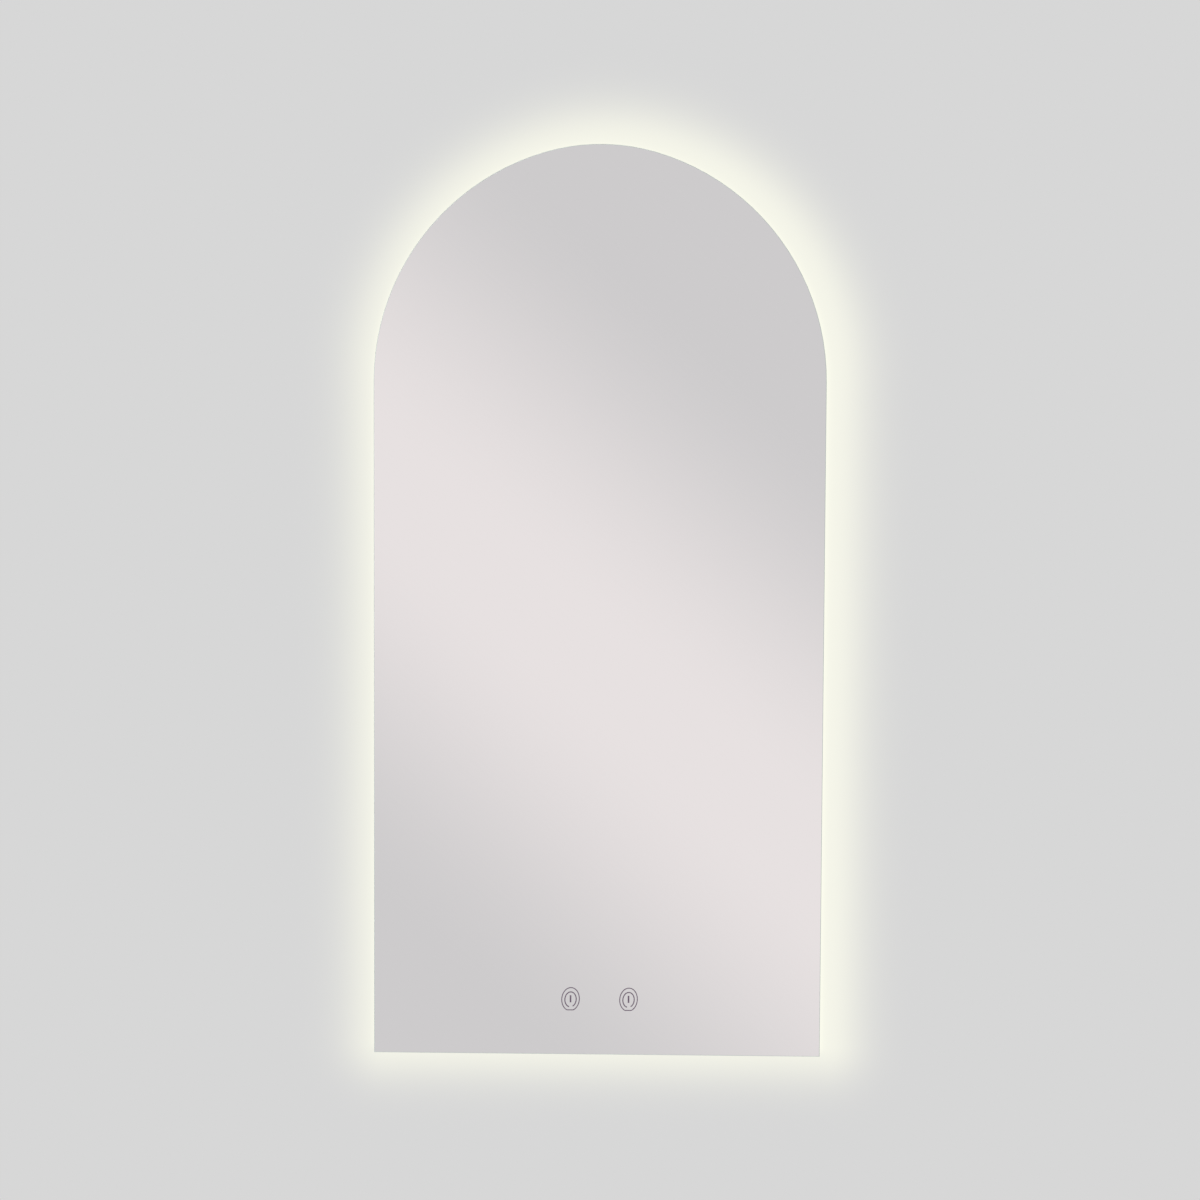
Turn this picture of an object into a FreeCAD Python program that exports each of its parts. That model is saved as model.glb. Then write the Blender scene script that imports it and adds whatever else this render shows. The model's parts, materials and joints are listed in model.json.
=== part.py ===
"""Arched frameless bathroom mirror with a halo of light behind it.

A silvered glass with a rounded top is bonded to an extruded aluminium frame that follows its
outline. The frame carries a light strip in an outward-facing channel behind an opal diffuser, so
the light leaves sideways between the glass and the wall. The back is open: a hanger bar hooks over
a rail on the wall, a lower bar carries two rubber bumpers, and a closed box holds the power supply.
Two touch sensors sit behind the marks near the bottom edge, and a heater pad keeps the glass clear.

Frame of reference: X to the viewer's right, Y into the wall, Z up. The wall is the plane Y = 0 and
the mirror stands in front of it, at negative Y. The origin is midway between the two fixing holes
of the wall rail, on the wall. Distances from the wall are called "off" here, so Y = -off.
"Inset" is a distance inward from the glass edge, measured square to that edge.
"""

import FreeCAD, Part
import math
import os

from FreeCAD import Vector

# ---------------------------------------------------------------- driving dimensions, millimetres

# Mirror glass: straight sides, a square bottom and a top of three tangent arcs
mirror_width = 500.0
mirror_height = 1012.0
arch_rise = 260.0  # the rounded top, from the end of the straight sides to the crown
haunch_angle = 74.0  # degrees of turn in each side arc before the crown arc takes over
glass_thickness = 5.0
glass_arris = 0.6  # polished chamfer round both faces
film_thickness = 0.4  # safety film over the paint on the glass's back
film_margin = 2.0  # film edge, inset from the glass edge

# Distances from the wall
mirror_depth = 45.0  # wall to the glass's front face
rear_gap = 8.0  # wall to the frame's rear face

# Extruded frame
web_inset = 30.0  # glass edge to the outer face of the frame's web
frame_wall = 1.5
bond_flange = 12.0  # front flange, inward of the web
screw_flange = 12.0  # rear flange, inward of the web
channel_depth = 8.0  # how far the light channel stands out from the web
channel_width = 13.0  # between the channel's two ribs
snap_lip = 0.8  # hook along each rib's edge, which holds the diffuser
tape_thickness = 1.0  # foam bonding tape between frame and film
tape_setback = 1.0  # tape edge, back from the flange edges

# Light strip
strip_width = 10.0
strip_thickness = 0.4
strip_end_gap = 9.0  # bare web at each corner, bridged by a flat jumper
led_pitch = 50.0 / 3.0
led_length = 3.5
led_width = 2.8
led_height = 0.8
feed_length = 16.0  # block that feeds the strip, in the middle of the bottom rail
feed_width = 9.0
feed_height = 4.0
jumper_width = 6.0
jumper_thickness = 0.8
jumper_lap = 3.0  # how far each end of the jumper lies on the strip

# Opal diffuser, a shallow channel that snaps in behind the lips
diffuser_face = 1.2
diffuser_leg = 4.0
diffuser_leg_thickness = 1.0

# Corner brackets
bracket_leg = 38.0
bracket_width = 10.0
bracket_thickness = 2.0
bracket_rounding = 1.5
bracket_screw_first = 8.0  # first screw, from the bracket leg's free end
bracket_screw_pitch = 13.0

# Wall rail and hanger bar: each hooks over the other
rail_height = 680.0  # fixing holes, above the glass's bottom edge
rail_length = 300.0
rail_thickness = 2.0
rail_drop = 12.0  # base plate, below the fixing holes
rail_step = 12.0  # underside of the rail's step, above the fixing holes
rail_lip_top = 28.0  # top of the rail's lip, above the fixing holes
rail_lip_off = 5.0  # wall to the near face of the lip
rail_hole_spacing = 250.0
rail_hole_radius = 2.75
bend_radius = 0.4  # inside radius of the bent sheets
hanger_thickness = 2.0
hanger_web_height = 30.0  # above the underside of its shelf
hanger_screw_margin = 8.0  # screws, from the top and bottom of the hanger's web
hook_length = 360.0  # width of the hanger's shelf and tongue
tongue_play = 0.4  # gap between tongue and lip
tongue_bottom_gap = 1.0  # gap between the tongue's edge and the rail's step
bar_end_gap = 0.5  # gap between a bar's end and the frame's web

# Lower bar and its bumpers
lower_bar_height = 104.0  # bar's lower edge, above the glass's bottom edge
lower_bar_web = 24.0
lower_bar_flange = 10.0
lower_bar_thickness = 2.0
lower_bar_screw_pitch = 12.0
bumper_radius = 8.0
bumper_edge = 1.0
bumper_stem_radius = 3.0
bumper_barb_radius = 3.8
bumper_barb_length = 3.5
bumper_stem_play = 0.1
bumper_spread = 300.0  # between the two bumpers' centres

# Pan-head screws
screw_radius = 2.0
screw_head_radius = 3.8
screw_head_height = 2.4
screw_hole_play = 0.2
screw_end = 2.5  # screw end past the piece that it bites in

# Touch sensors behind the marks
touch_spacing = 65.0
touch_centre = 3.2  # middle of the pair, to the right of the mirror's middle
touch_height = 63.0  # marks' centre, above the glass's bottom edge
sensor_width = 36.0
sensor_height = 26.0
sensor_depth = 11.0
sensor_wall = 1.5
sensor_ledge = 1.0  # step inside the housing that carries the board
sensor_corner = 3.0
sensor_board_thickness = 1.2
sensor_board_gap = 0.3  # between the board's edge and the housing
electrode_radius = 8.0
electrode_height = 0.8
sensor_window_gap = 0.8  # film cut back round each housing

# Heater pad
pad_width = 280.0
pad_height = 360.0
pad_bottom = 300.0  # above the glass's bottom edge
pad_thickness = 0.3
pad_corner = 12.0
trace_width = 3.0
trace_thickness = 0.12
trace_pitch = 18.0
trace_margin = 14.0  # pad edge to the trace
trace_tail_gap = 6.0  # between the two tails and the turns above them
terminal_width = 24.0
terminal_height = 15.0
terminal_depth = 6.5
terminal_rounding = 1.5

# Power box
box_width = 204.0
box_height = 92.0
box_depth = 22.0
box_wall = 2.0
box_corner = 7.0
box_bottom = 158.0  # above the glass's bottom edge
box_pad_thickness = 1.0
box_pad_width = 26.0
box_pad_height = 70.0
box_pad_spread = 130.0
gasket_thickness = 0.8
lid_thickness = 2.0
lid_overhang = 1.0
lid_rim_height = 2.0
lid_rim_wall = 1.2
lid_rim_play = 0.3
boss_radius = 3.6
boss_inset = 5.0  # boss centre, from the box's outer faces
lid_screw_radius = 1.5
lid_screw_head_radius = 2.8
lid_screw_head_height = 1.8
lid_screw_bite = 10.0
lid_rib_height = 0.8
lid_rib_width = 2.4
lid_rib_rounding = 1.0
lid_rib_count = 7
lid_rib_pitch = 9.0
lid_rib_length = 56.0

# Power supply and terminal block in the box
supply_length = 104.0
supply_width = 38.0
supply_depth = 16.0
supply_corner = 3.0
block_length = 36.0
block_width = 20.0
block_depth = 13.0
block_corner = 1.0
block_ways = 3
block_way_pitch = 11.0
block_entry_radius = 2.0
block_entry_depth = 6.0
block_screw_radius = 2.4
block_screw_sink = 2.0
ear_length = 9.0
ear_width = 14.0
ear_thickness = 2.5
post_radius = 3.2
post_height = 4.0
inner_screw_bite = 4.0
inner_gap = 8.0  # between an ear's end and the box's side wall

# Cable gland for the supply cable, in the box's right wall
gland_cable_radius = 3.5  # bore of the rubber seal
gland_thread_radius = 6.0
gland_bore_radius = 4.6
gland_hole_play = 0.2
gland_hex_flats = 17.0
gland_hex_thickness = 4.5
gland_barrel_radius = 6.8
gland_barrel_length = 7.0
gland_nut_thickness = 3.5
gland_inside = 7.0  # thread length inside the box
gland_cap_radius = 8.9  # over the corners
gland_cap_flats = 16.4
gland_cap_length = 14.0
gland_cap_dome = 2.0
gland_mouth_radius = 4.4
gland_seal_grip = 4.0  # seal length inside the barrel
gland_seal_head = 3.0  # seal length between the barrel and the cap
gland_seal_radius = 6.0
gland_rise = 18.0  # gland axis, above the box's middle

# Leads between the pieces
light_lead_diameter = 4.5
heater_lead_diameter = 4.5
sensor_lead_diameter = 3.4
earth_lead_diameter = 3.0
lead_tail = 6.0  # how far a lead reaches inside the box
lead_socket = 3.0  # how far a lead reaches into a small housing
light_exit = -14.0  # where each lead leaves the box, to the right of the middle
heater_exit = 16.0
sensor_exit_spread = 47.0  # from the middle of the pair of sensors to each exit
earth_exit = 78.0
earth_exit_off = 24.0
grommet_wall = 1.2
grommet_flange = 1.8
grommet_flange_thickness = 1.2
clip_base = 12.0
clip_base_thickness = 1.5
clip_wall = 1.2
clip_length = 6.0
clip_drop = 8.0  # upper clips' middle, below the box
lug_radius = 4.6
lug_thickness = 0.8
lug_height = 11.0  # lug's eye, above the lower bar's edge
lug_barrel_length = 9.0

# ------------------------------------------------------------------------------- worked-out places

TOWARD_MIRROR = Vector(0, -1, 0)
TOWARD_WALL = Vector(0, 1, 0)
UP = Vector(0, 0, 1)
DOWN = Vector(0, 0, -1)
RIGHT = Vector(1, 0, 0)

half_width = mirror_width / 2
glass_bottom = -rail_height
side_top = glass_bottom + mirror_height - arch_rise
turn = math.radians(haunch_angle)
slant = math.tan(turn) - 1 / math.cos(turn)
haunch_radius = (arch_rise + half_width * slant) / (1 + slant)
haunch_x = half_width - haunch_radius
crown_z = side_top - haunch_x * math.tan(turn)
crown_radius = side_top + arch_rise - crown_z

glass_back_off = mirror_depth - glass_thickness
film_back_off = glass_back_off - film_thickness
frame_front_off = film_back_off - tape_thickness
flange_inner_off = rear_gap + frame_wall
channel_front_off = frame_front_off - frame_wall
channel_rear_off = channel_front_off - channel_width
channel_mid_off = (channel_front_off + channel_rear_off) / 2
web_inner_inset = web_inset + frame_wall
channel_inset = web_inset - channel_depth
lip_inset = channel_inset + snap_lip
strip_inset = web_inset - strip_thickness
bond_edge_inset = web_inner_inset + bond_flange
screw_edge_inset = web_inner_inset + screw_flange
flange_mid_inset = web_inner_inset + screw_flange / 2
strip_foot = glass_bottom + web_inset + strip_end_gap
strip_end = half_width - web_inset - strip_end_gap

hanger_top = rail_lip_top + hanger_web_height
tongue_off = rail_lip_off - tongue_play
bar_low = glass_bottom + lower_bar_height
bar_mid = bar_low + lower_bar_web / 2
bar_front_off = flange_inner_off + lower_bar_thickness

box_half = box_width / 2
inner_half = box_half - box_wall
box_low = glass_bottom + box_bottom
box_high = box_low + box_height
box_mid = box_low + box_height / 2
box_floor_off = film_back_off - box_pad_thickness
box_inner_off = box_floor_off - box_wall
box_rim_off = box_floor_off - box_depth
box_mid_off = (box_rim_off + box_floor_off) / 2
lid_front_off = box_rim_off - gasket_thickness
lid_rear_off = lid_front_off - lid_thickness
supply_x = -inner_half + inner_gap + ear_length + supply_length / 2
block_x = inner_half - inner_gap - ear_length - block_length / 2
gland_z = box_mid + gland_rise

touch_xs = [touch_centre - touch_spacing / 2, touch_centre + touch_spacing / 2]
touch_exits = [touch_centre - sensor_exit_spread, touch_centre + sensor_exit_spread]
touch_z = glass_bottom + touch_height
sensor_top = touch_z + sensor_height / 2
sensor_mid_off = glass_back_off - sensor_depth / 2
pad_low = glass_bottom + pad_bottom
pad_back_off = film_back_off - pad_thickness
terminal_mid_off = pad_back_off - terminal_depth / 2


# ------------------------------------------------------------------------------------ shape helpers


def point(x, off, z):
    return Vector(x, -off, z)


def slab(x0, x1, off0, off1, z0, z1):
    """Box between two x, two distances from the wall and two heights."""
    return Part.makeBox(x1 - x0, off1 - off0, z1 - z0, point(x0, off1, z0))


def polygon_face(points):
    return Part.Face(Part.makePolygon(list(points) + [points[0]]))


def plate(wire, off0, off1):
    """A closed wire drawn on the wall's plane, made solid between two distances from the wall."""
    face = Part.Face(wire)
    face.translate(point(0, off1, 0))
    return face.extrude(TOWARD_WALL * (off1 - off0))


def soften(shape, radius):
    """Round every edge that runs square to the wall."""
    square_edges = [e for e in shape.Edges if abs(e.tangentAt(e.FirstParameter).y) > 0.999]
    return shape.makeFillet(radius, square_edges)


def rounded_wire(x0, x1, z0, z1, radius):
    """Rounded rectangle on the wall's plane."""
    block = Part.makeBox(x1 - x0, 1, z1 - z0, Vector(x0, 0, z0))
    rounded = soften(block, radius)
    return min(rounded.Faces, key=lambda face: face.CenterOfMass.y).OuterWire


def bend(shape, off, z, radius):
    """Round the long edge that runs sideways through one spot of a bent sheet's section."""
    spot = point(0, off, z)
    along = [
        e
        for e in shape.Edges
        if abs(e.tangentAt(e.FirstParameter).x) > 0.999
        and abs(e.CenterOfMass.y - spot.y) < 1e-6
        and abs(e.CenterOfMass.z - spot.z) < 1e-6
    ]
    return shape.makeFillet(radius, along)


def disc(x, z, radius, off0, off1):
    """Round bar square to the wall."""
    return Part.makeCylinder(radius, off1 - off0, point(x, off1, z), TOWARD_WALL)


def rod(x, off, radius, z0, z1):
    """Upright round bar."""
    return Part.makeCylinder(radius, z1 - z0, point(x, off, z0), UP)


def fuse(shapes):
    return shapes[0].multiFuse(shapes[1:]).removeSplitter()


def cut(shape, tools):
    return shape.cut(list(tools))


def mirrored(shape):
    """The same piece on the other side of the middle plane."""
    return shape.mirror(Vector(0, 0, 0), RIGHT)


def aimed(solid, start, direction):
    """A solid made along +Z at the origin, moved to start and pointed along direction."""
    solid.Placement = FreeCAD.Placement(start, FreeCAD.Rotation(UP, direction))
    return solid


def turned(profile):
    """Solid of revolution about +Z. The profile holds (radius, distance along the axis) pairs."""
    face = polygon_face([Vector(radius, 0, along) for radius, along in profile])
    return face.revolve(Vector(0, 0, 0), UP, 360)


def hexagon(flats, thickness):
    """Hexagonal prism along +Z from its across-flats size."""
    corner = flats / math.sqrt(3)
    angles = [math.radians(60 * k) for k in range(6)]
    face = polygon_face([Vector(corner * math.cos(a), corner * math.sin(a), 0) for a in angles])
    return face.extrude(UP * thickness)


def pan_head_screw(radius, head_radius, head_height, length):
    """Screw with a cross recess along +Z, with the underside of its head at the origin."""
    rim = head_height * 0.55
    tip = radius * 0.6
    body = turned(
        [
            (0, -head_height),
            (head_radius * 0.6, -head_height),
            (head_radius, -rim),
            (head_radius, 0),
            (radius, 0),
            (radius, length - tip),
            (radius - tip, length),
            (0, length),
        ]
    )
    arm_length = head_radius * 1.05
    arm_width = head_radius * 0.24
    arm_corner = Vector(-arm_length / 2, -arm_width / 2, -head_height)
    arm = Part.makeBox(arm_length, arm_width, rim, arm_corner)
    cross_arm = arm.copy()
    cross_arm.rotate(Vector(0, 0, 0), UP, 90)
    return cut(body, [arm, cross_arm])


def frame_screw(length):
    return pan_head_screw(screw_radius, screw_head_radius, screw_head_height, length)


def small_screw(length):
    return pan_head_screw(lid_screw_radius, lid_screw_head_radius, lid_screw_head_height, length)


# ---------------------------------------------------------------------------- the mirror's outline


def outline(inset):
    """Closed wire of the mirror's outline at an inset, on the wall's plane."""
    reach = haunch_radius - inset
    foot = Vector(half_width - inset, 0, glass_bottom + inset)
    haunch = [
        Vector(haunch_x + reach * math.cos(angle), 0, side_top + reach * math.sin(angle))
        for angle in (0, turn / 2, turn)
    ]
    crown = Vector(0, 0, crown_z + crown_radius - inset)

    def opposite(spot):
        return Vector(-spot.x, spot.y, spot.z)

    far_haunch = [opposite(spot) for spot in reversed(haunch)]
    curves = [
        Part.LineSegment(opposite(foot), foot),
        Part.LineSegment(foot, haunch[0]),
        Part.Arc(*haunch),
        Part.Arc(haunch[-1], crown, far_haunch[0]),
        Part.Arc(*far_haunch),
        Part.LineSegment(far_haunch[-1], opposite(foot)),
    ]
    return Part.Wire([curve.toShape() for curve in curves])


def half_width_at(z, inset):
    """Half the outline's width at a height, at an inset."""
    haunch_end = side_top + (haunch_radius - inset) * math.sin(turn)
    if z <= side_top:
        return half_width - inset
    if z <= haunch_end:
        return haunch_x + math.sqrt((haunch_radius - inset) ** 2 - (z - side_top) ** 2)
    return math.sqrt((crown_radius - inset) ** 2 - (z - crown_z) ** 2)


def arch_run(section, foot):
    """A section of (inset, off) pairs carried up both sides and round the arch, from a height up."""

    def face_at(x, z):
        return polygon_face([point(x - inset, off, z) for inset, off in section])

    leg = face_at(half_width, foot).extrude(UP * (side_top - foot))
    haunch_centre = point(haunch_x, 0, side_top)
    haunch = face_at(half_width, side_top).revolve(haunch_centre, TOWARD_MIRROR, haunch_angle)
    crown_centre = point(0, 0, crown_z)
    crown_start = face_at(crown_radius, crown_z)
    crown_start.rotate(crown_centre, TOWARD_MIRROR, haunch_angle)
    crown = crown_start.revolve(crown_centre, TOWARD_MIRROR, 180 - 2 * haunch_angle)
    return fuse([leg, haunch, crown, mirrored(haunch), mirrored(leg)])


def bottom_run(section, x0, x1):
    """The same kind of section carried along the bottom edge."""
    face = polygon_face([point(x0, off, glass_bottom + inset) for inset, off in section])
    return face.extrude(RIGHT * (x1 - x0))


def mitred(section):
    """Arch and bottom pieces of one section, cut at 45 degrees where they meet."""
    feet = [point(-half_width, 0, glass_bottom), point(half_width, 0, glass_bottom)]
    apex = point(0, 0, glass_bottom + half_width)
    under = polygon_face([*feet, apex]).extrude(TOWARD_MIRROR * mirror_depth)
    arch = arch_run(section, glass_bottom).cut(under)
    bottom = bottom_run(section, -half_width, half_width).common(under)
    return arch, bottom


def strap(inset0, inset1, off0, off1):
    """Rectangular section between two insets and two distances from the wall."""
    return [(inset0, off0), (inset1, off0), (inset1, off1), (inset0, off1)]


def both_sides(spots):
    """Spots on the right half, with their opposites on the left."""
    return spots + [(-x, z) for x, z in spots]


# ------------------------------------------------------------------------------------- screw places

hanger_heights = [rail_lip_top + hanger_screw_margin, hanger_top - hanger_screw_margin]
hanger_spots = both_sides([(half_width_at(z, flange_mid_inset), z) for z in hanger_heights])
bar_heights = [bar_mid - lower_bar_screw_pitch / 2, bar_mid + lower_bar_screw_pitch / 2]
bar_spots = both_sides([(half_width_at(z, flange_mid_inset), z) for z in bar_heights])
bracket_edge = flange_mid_inset - bracket_width / 2
bracket_end = bracket_edge + bracket_leg
bracket_reaches = [bracket_end - bracket_screw_first - k * bracket_screw_pitch for k in range(2)]
bracket_spots = both_sides(
    [(half_width - flange_mid_inset, glass_bottom + reach) for reach in bracket_reaches]
    + [(half_width - reach, glass_bottom + flange_mid_inset) for reach in bracket_reaches]
)
bumper_spots = both_sides([(bumper_spread / 2, bar_mid)])
boss_heights = [box_low + boss_inset, box_high - boss_inset]
boss_spots = both_sides([(box_half - boss_inset, z) for z in boss_heights])
post_spots = [
    (middle + side * (length + ear_length) / 2, box_mid)
    for middle, length in ((supply_x, supply_length), (block_x, block_length))
    for side in (-1, 1)
]
earth_spot = (earth_exit, bar_low + lug_height)


def holes_at(spots, radius, off0, off1):
    return [disc(x, z, radius, off0, off1) for x, z in spots]


def flange_screws(spots, bite):
    """Screws through the frame's rear flange from behind, into a piece that is bite thick."""
    length = frame_wall + bite + screw_end
    return [aimed(frame_screw(length), point(x, rear_gap, z), TOWARD_MIRROR) for x, z in spots]


# ---------------------------------------------------------------------------- glass, film and tapes


def mirror_glass():
    blank = plate(outline(0), glass_back_off, mirror_depth)
    rims = [e for e in blank.Edges if abs(e.tangentAt(e.FirstParameter).y) < 0.001]
    return blank.makeChamfer(glass_arris, rims)


def sensor_wire(x, grow):
    """Outline of a touch sensor, grown by a margin."""
    return rounded_wire(
        x - sensor_width / 2 - grow,
        x + sensor_width / 2 + grow,
        touch_z - sensor_height / 2 - grow,
        touch_z + sensor_height / 2 + grow,
        sensor_corner + grow,
    )


def safety_film():
    sheet = plate(outline(film_margin), film_back_off, glass_back_off)
    windows = [plate(sensor_wire(x, sensor_window_gap), film_back_off, glass_back_off) for x in touch_xs]
    return cut(sheet, windows)


def bonding_tapes():
    insets = (channel_inset + tape_setback, bond_edge_inset - tape_setback)
    return mitred(strap(*insets, frame_front_off, film_back_off))


# -------------------------------------------------------------------------------------------- frame


def frame_section():
    """Extrusion: bonding flange, web and screw flange, with the snap-in light channel outside."""
    rib_rear_off = channel_rear_off - frame_wall
    return [
        (bond_edge_inset, frame_front_off),
        (channel_inset, frame_front_off),
        (channel_inset, channel_front_off - snap_lip),
        (lip_inset, channel_front_off - snap_lip),
        (lip_inset, channel_front_off),
        (web_inset, channel_front_off),
        (web_inset, channel_rear_off),
        (lip_inset, channel_rear_off),
        (lip_inset, channel_rear_off + snap_lip),
        (channel_inset, channel_rear_off + snap_lip),
        (channel_inset, rib_rear_off),
        (web_inset, rib_rear_off),
        (web_inset, rear_gap),
        (screw_edge_inset, rear_gap),
        (screw_edge_inset, flange_inner_off),
        (web_inner_inset, flange_inner_off),
        (web_inner_inset, channel_front_off),
        (bond_edge_inset, channel_front_off),
    ]


def frame_rails():
    arch, bottom = mitred(frame_section())
    flange_spots = hanger_spots + bar_spots + bracket_spots
    flange_holes = holes_at(flange_spots, screw_radius + screw_hole_play, rear_gap, flange_inner_off)
    lead_hole = rod(
        0,
        channel_mid_off,
        light_lead_diameter / 2 + grommet_wall,
        glass_bottom + web_inset,
        glass_bottom + web_inner_inset,
    )
    return cut(arch, flange_holes), cut(bottom, flange_holes + [lead_hole])


def corner_bracket():
    """Right-hand bracket, flat on the rear flanges across the mitre."""
    offs = (flange_inner_off, flange_inner_off + bracket_thickness)
    left = half_width - bracket_end
    right = half_width - bracket_edge
    low = glass_bottom + bracket_edge
    high = glass_bottom + bracket_end
    legs = fuse(
        [
            slab(left, right, *offs, low, low + bracket_width),
            slab(right - bracket_width, right, *offs, low, high),
        ]
    )
    return cut(soften(legs, bracket_rounding), holes_at(bracket_spots, screw_radius, *offs))


# -------------------------------------------------------------------------------------------- light


def strip_section():
    half_strip = strip_width / 2
    return strap(strip_inset, web_inset, channel_mid_off - half_strip, channel_mid_off + half_strip)


def led_chip(x, z, angle):
    """One chip on the strip's face, turned outward by an angle from the right."""
    corner = Vector(0, -channel_mid_off - led_width / 2, -led_length / 2)
    chip = Part.makeBox(led_height, led_width, led_length, corner)
    chip.rotate(Vector(0, 0, 0), TOWARD_MIRROR, math.degrees(angle))
    chip.translate(Vector(x, 0, z))
    return chip


def arch_station(run):
    """Place and outward angle at a distance along the right half of the strip from its foot."""
    haunch_reach = haunch_radius - strip_inset
    crown_reach = crown_radius - strip_inset
    leg = side_top - strip_foot
    if run <= leg:
        return half_width - strip_inset, strip_foot + run, 0
    angle = (run - leg) / haunch_reach
    if angle <= turn:
        x = haunch_x + haunch_reach * math.cos(angle)
        return x, side_top + haunch_reach * math.sin(angle), angle
    angle = turn + (run - leg - turn * haunch_reach) / crown_reach
    return crown_reach * math.cos(angle), crown_z + crown_reach * math.sin(angle), angle


def led_chips():
    """Chips at an even pitch, counted from the crown down each side and from the feed outward."""
    haunch_run = turn * (haunch_radius - strip_inset)
    crown_run = (math.pi / 2 - turn) * (crown_radius - strip_inset)
    side_run = side_top - strip_foot + haunch_run + crown_run
    bottom_length = strip_end - feed_length / 2
    face_z = glass_bottom + strip_inset
    chips = []
    for k in range(int((side_run - jumper_lap) / led_pitch)):
        chips.append(led_chip(*arch_station(side_run - (k + 0.5) * led_pitch)))
    for k in range(int((bottom_length - jumper_lap) / led_pitch)):
        chips.append(led_chip(feed_length / 2 + (k + 0.5) * led_pitch, face_z, -math.pi / 2))
    return chips + [mirrored(chip) for chip in chips]


def corner_jumper():
    """Right-hand flat jumper from the side strip's end round the corner to the bottom strip's end."""
    offs = (channel_mid_off - jumper_width / 2, channel_mid_off + jumper_width / 2)
    outer_inset = strip_inset - jumper_thickness
    face_x = half_width - strip_inset
    outer_x = half_width - outer_inset
    outer_z = glass_bottom + outer_inset
    face_z = glass_bottom + strip_inset
    return fuse(
        [
            slab(face_x, outer_x, *offs, outer_z, strip_foot + jumper_lap),
            slab(strip_end - jumper_lap, outer_x, *offs, outer_z, face_z),
        ]
    )


def strip_connector():
    """Feed block on the bottom web, over the hole where the lead comes through."""
    web_z = glass_bottom + web_inset
    half_length = feed_length / 2
    offs = (channel_mid_off - feed_width / 2, channel_mid_off + feed_width / 2)
    return slab(-half_length, half_length, *offs, web_z - feed_height, web_z)


def diffusers():
    face_inset = lip_inset + diffuser_face
    leg_inset = face_inset + diffuser_leg
    return mitred(
        [
            (lip_inset, channel_rear_off),
            (lip_inset, channel_front_off),
            (leg_inset, channel_front_off),
            (leg_inset, channel_front_off - diffuser_leg_thickness),
            (face_inset, channel_front_off - diffuser_leg_thickness),
            (face_inset, channel_rear_off + diffuser_leg_thickness),
            (leg_inset, channel_rear_off + diffuser_leg_thickness),
            (leg_inset, channel_rear_off),
        ]
    )


# ----------------------------------------------------------------------------------------- hanging


def sheet_run(section, length):
    """A bent sheet's section of (off, z) pairs, carried sideways and centred."""
    face = polygon_face([point(-length / 2, off, z) for off, z in section])
    return face.extrude(RIGHT * length)


def wall_rail():
    """Base plate on the wall, a step away from it and a lip that stands up to take the hook."""
    step_top = rail_step + rail_thickness
    lip_face = rail_lip_off + rail_thickness
    rail = sheet_run(
        [
            (0, -rail_drop),
            (rail_thickness, -rail_drop),
            (rail_thickness, rail_step),
            (lip_face, rail_step),
            (lip_face, rail_lip_top),
            (rail_lip_off, rail_lip_top),
            (rail_lip_off, step_top),
            (0, step_top),
        ],
        rail_length,
    )
    rail = bend(rail, 0, step_top, bend_radius + rail_thickness)
    rail = bend(rail, rail_thickness, rail_step, bend_radius)
    rail = bend(rail, lip_face, rail_step, bend_radius + rail_thickness)
    rail = bend(rail, rail_lip_off, step_top, bend_radius)
    fixing_spots = both_sides([(rail_hole_spacing / 2, 0)])
    return cut(rail, holes_at(fixing_spots, rail_hole_radius, 0, rail_thickness))


def trimmed(bar):
    """A cross bar cut to fit between the frame's webs."""
    return bar.common(plate(outline(web_inner_inset + bar_end_gap), 0, mirror_depth))


def hanger_bar():
    """Web across the frame, with a shelf that rests on the rail's lip and a tongue behind the lip."""
    web_front = flange_inner_off + hanger_thickness
    shelf_top = rail_lip_top + hanger_thickness
    tongue_low = rail_step + rail_thickness + tongue_bottom_gap
    tongue_rear = tongue_off - hanger_thickness
    hook = sheet_run(
        [
            (tongue_rear, tongue_low),
            (tongue_off, tongue_low),
            (tongue_off, rail_lip_top),
            (web_front, rail_lip_top),
            (web_front, hanger_top),
            (flange_inner_off, hanger_top),
            (flange_inner_off, shelf_top),
            (tongue_rear, shelf_top),
        ],
        hook_length,
    )
    hook = bend(hook, tongue_rear, shelf_top, bend_radius + hanger_thickness)
    hook = bend(hook, tongue_off, rail_lip_top, bend_radius)
    hook = bend(hook, web_front, rail_lip_top, bend_radius + hanger_thickness)
    hook = bend(hook, flange_inner_off, shelf_top, bend_radius)
    web_low = shelf_top + bend_radius
    web = slab(-half_width, half_width, flange_inner_off, web_front, web_low, hanger_top)
    bar = fuse([hook, trimmed(web)])
    return cut(bar, holes_at(hanger_spots, screw_radius, flange_inner_off, web_front))


def lower_cross_bar():
    """Angle across the frame that carries the bumpers and the earth screw."""
    flange_end = flange_inner_off + lower_bar_flange
    flange_top = bar_low + lower_bar_thickness
    web_top = bar_low + lower_bar_web
    angle = fuse(
        [
            slab(-half_width, half_width, flange_inner_off, bar_front_off, bar_low, web_top),
            slab(-half_width, half_width, flange_inner_off, flange_end, bar_low, flange_top),
        ]
    )
    angle = bend(angle, flange_inner_off, bar_low, bend_radius + lower_bar_thickness)
    angle = bend(angle, bar_front_off, flange_top, bend_radius)
    screw_holes = holes_at(bar_spots + [earth_spot], screw_radius, flange_inner_off, bar_front_off)
    stem_hole_radius = bumper_stem_radius + bumper_stem_play
    stem_holes = holes_at(bumper_spots, stem_hole_radius, flange_inner_off, bar_front_off)
    return cut(trimmed(angle), screw_holes + stem_holes)


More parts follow.
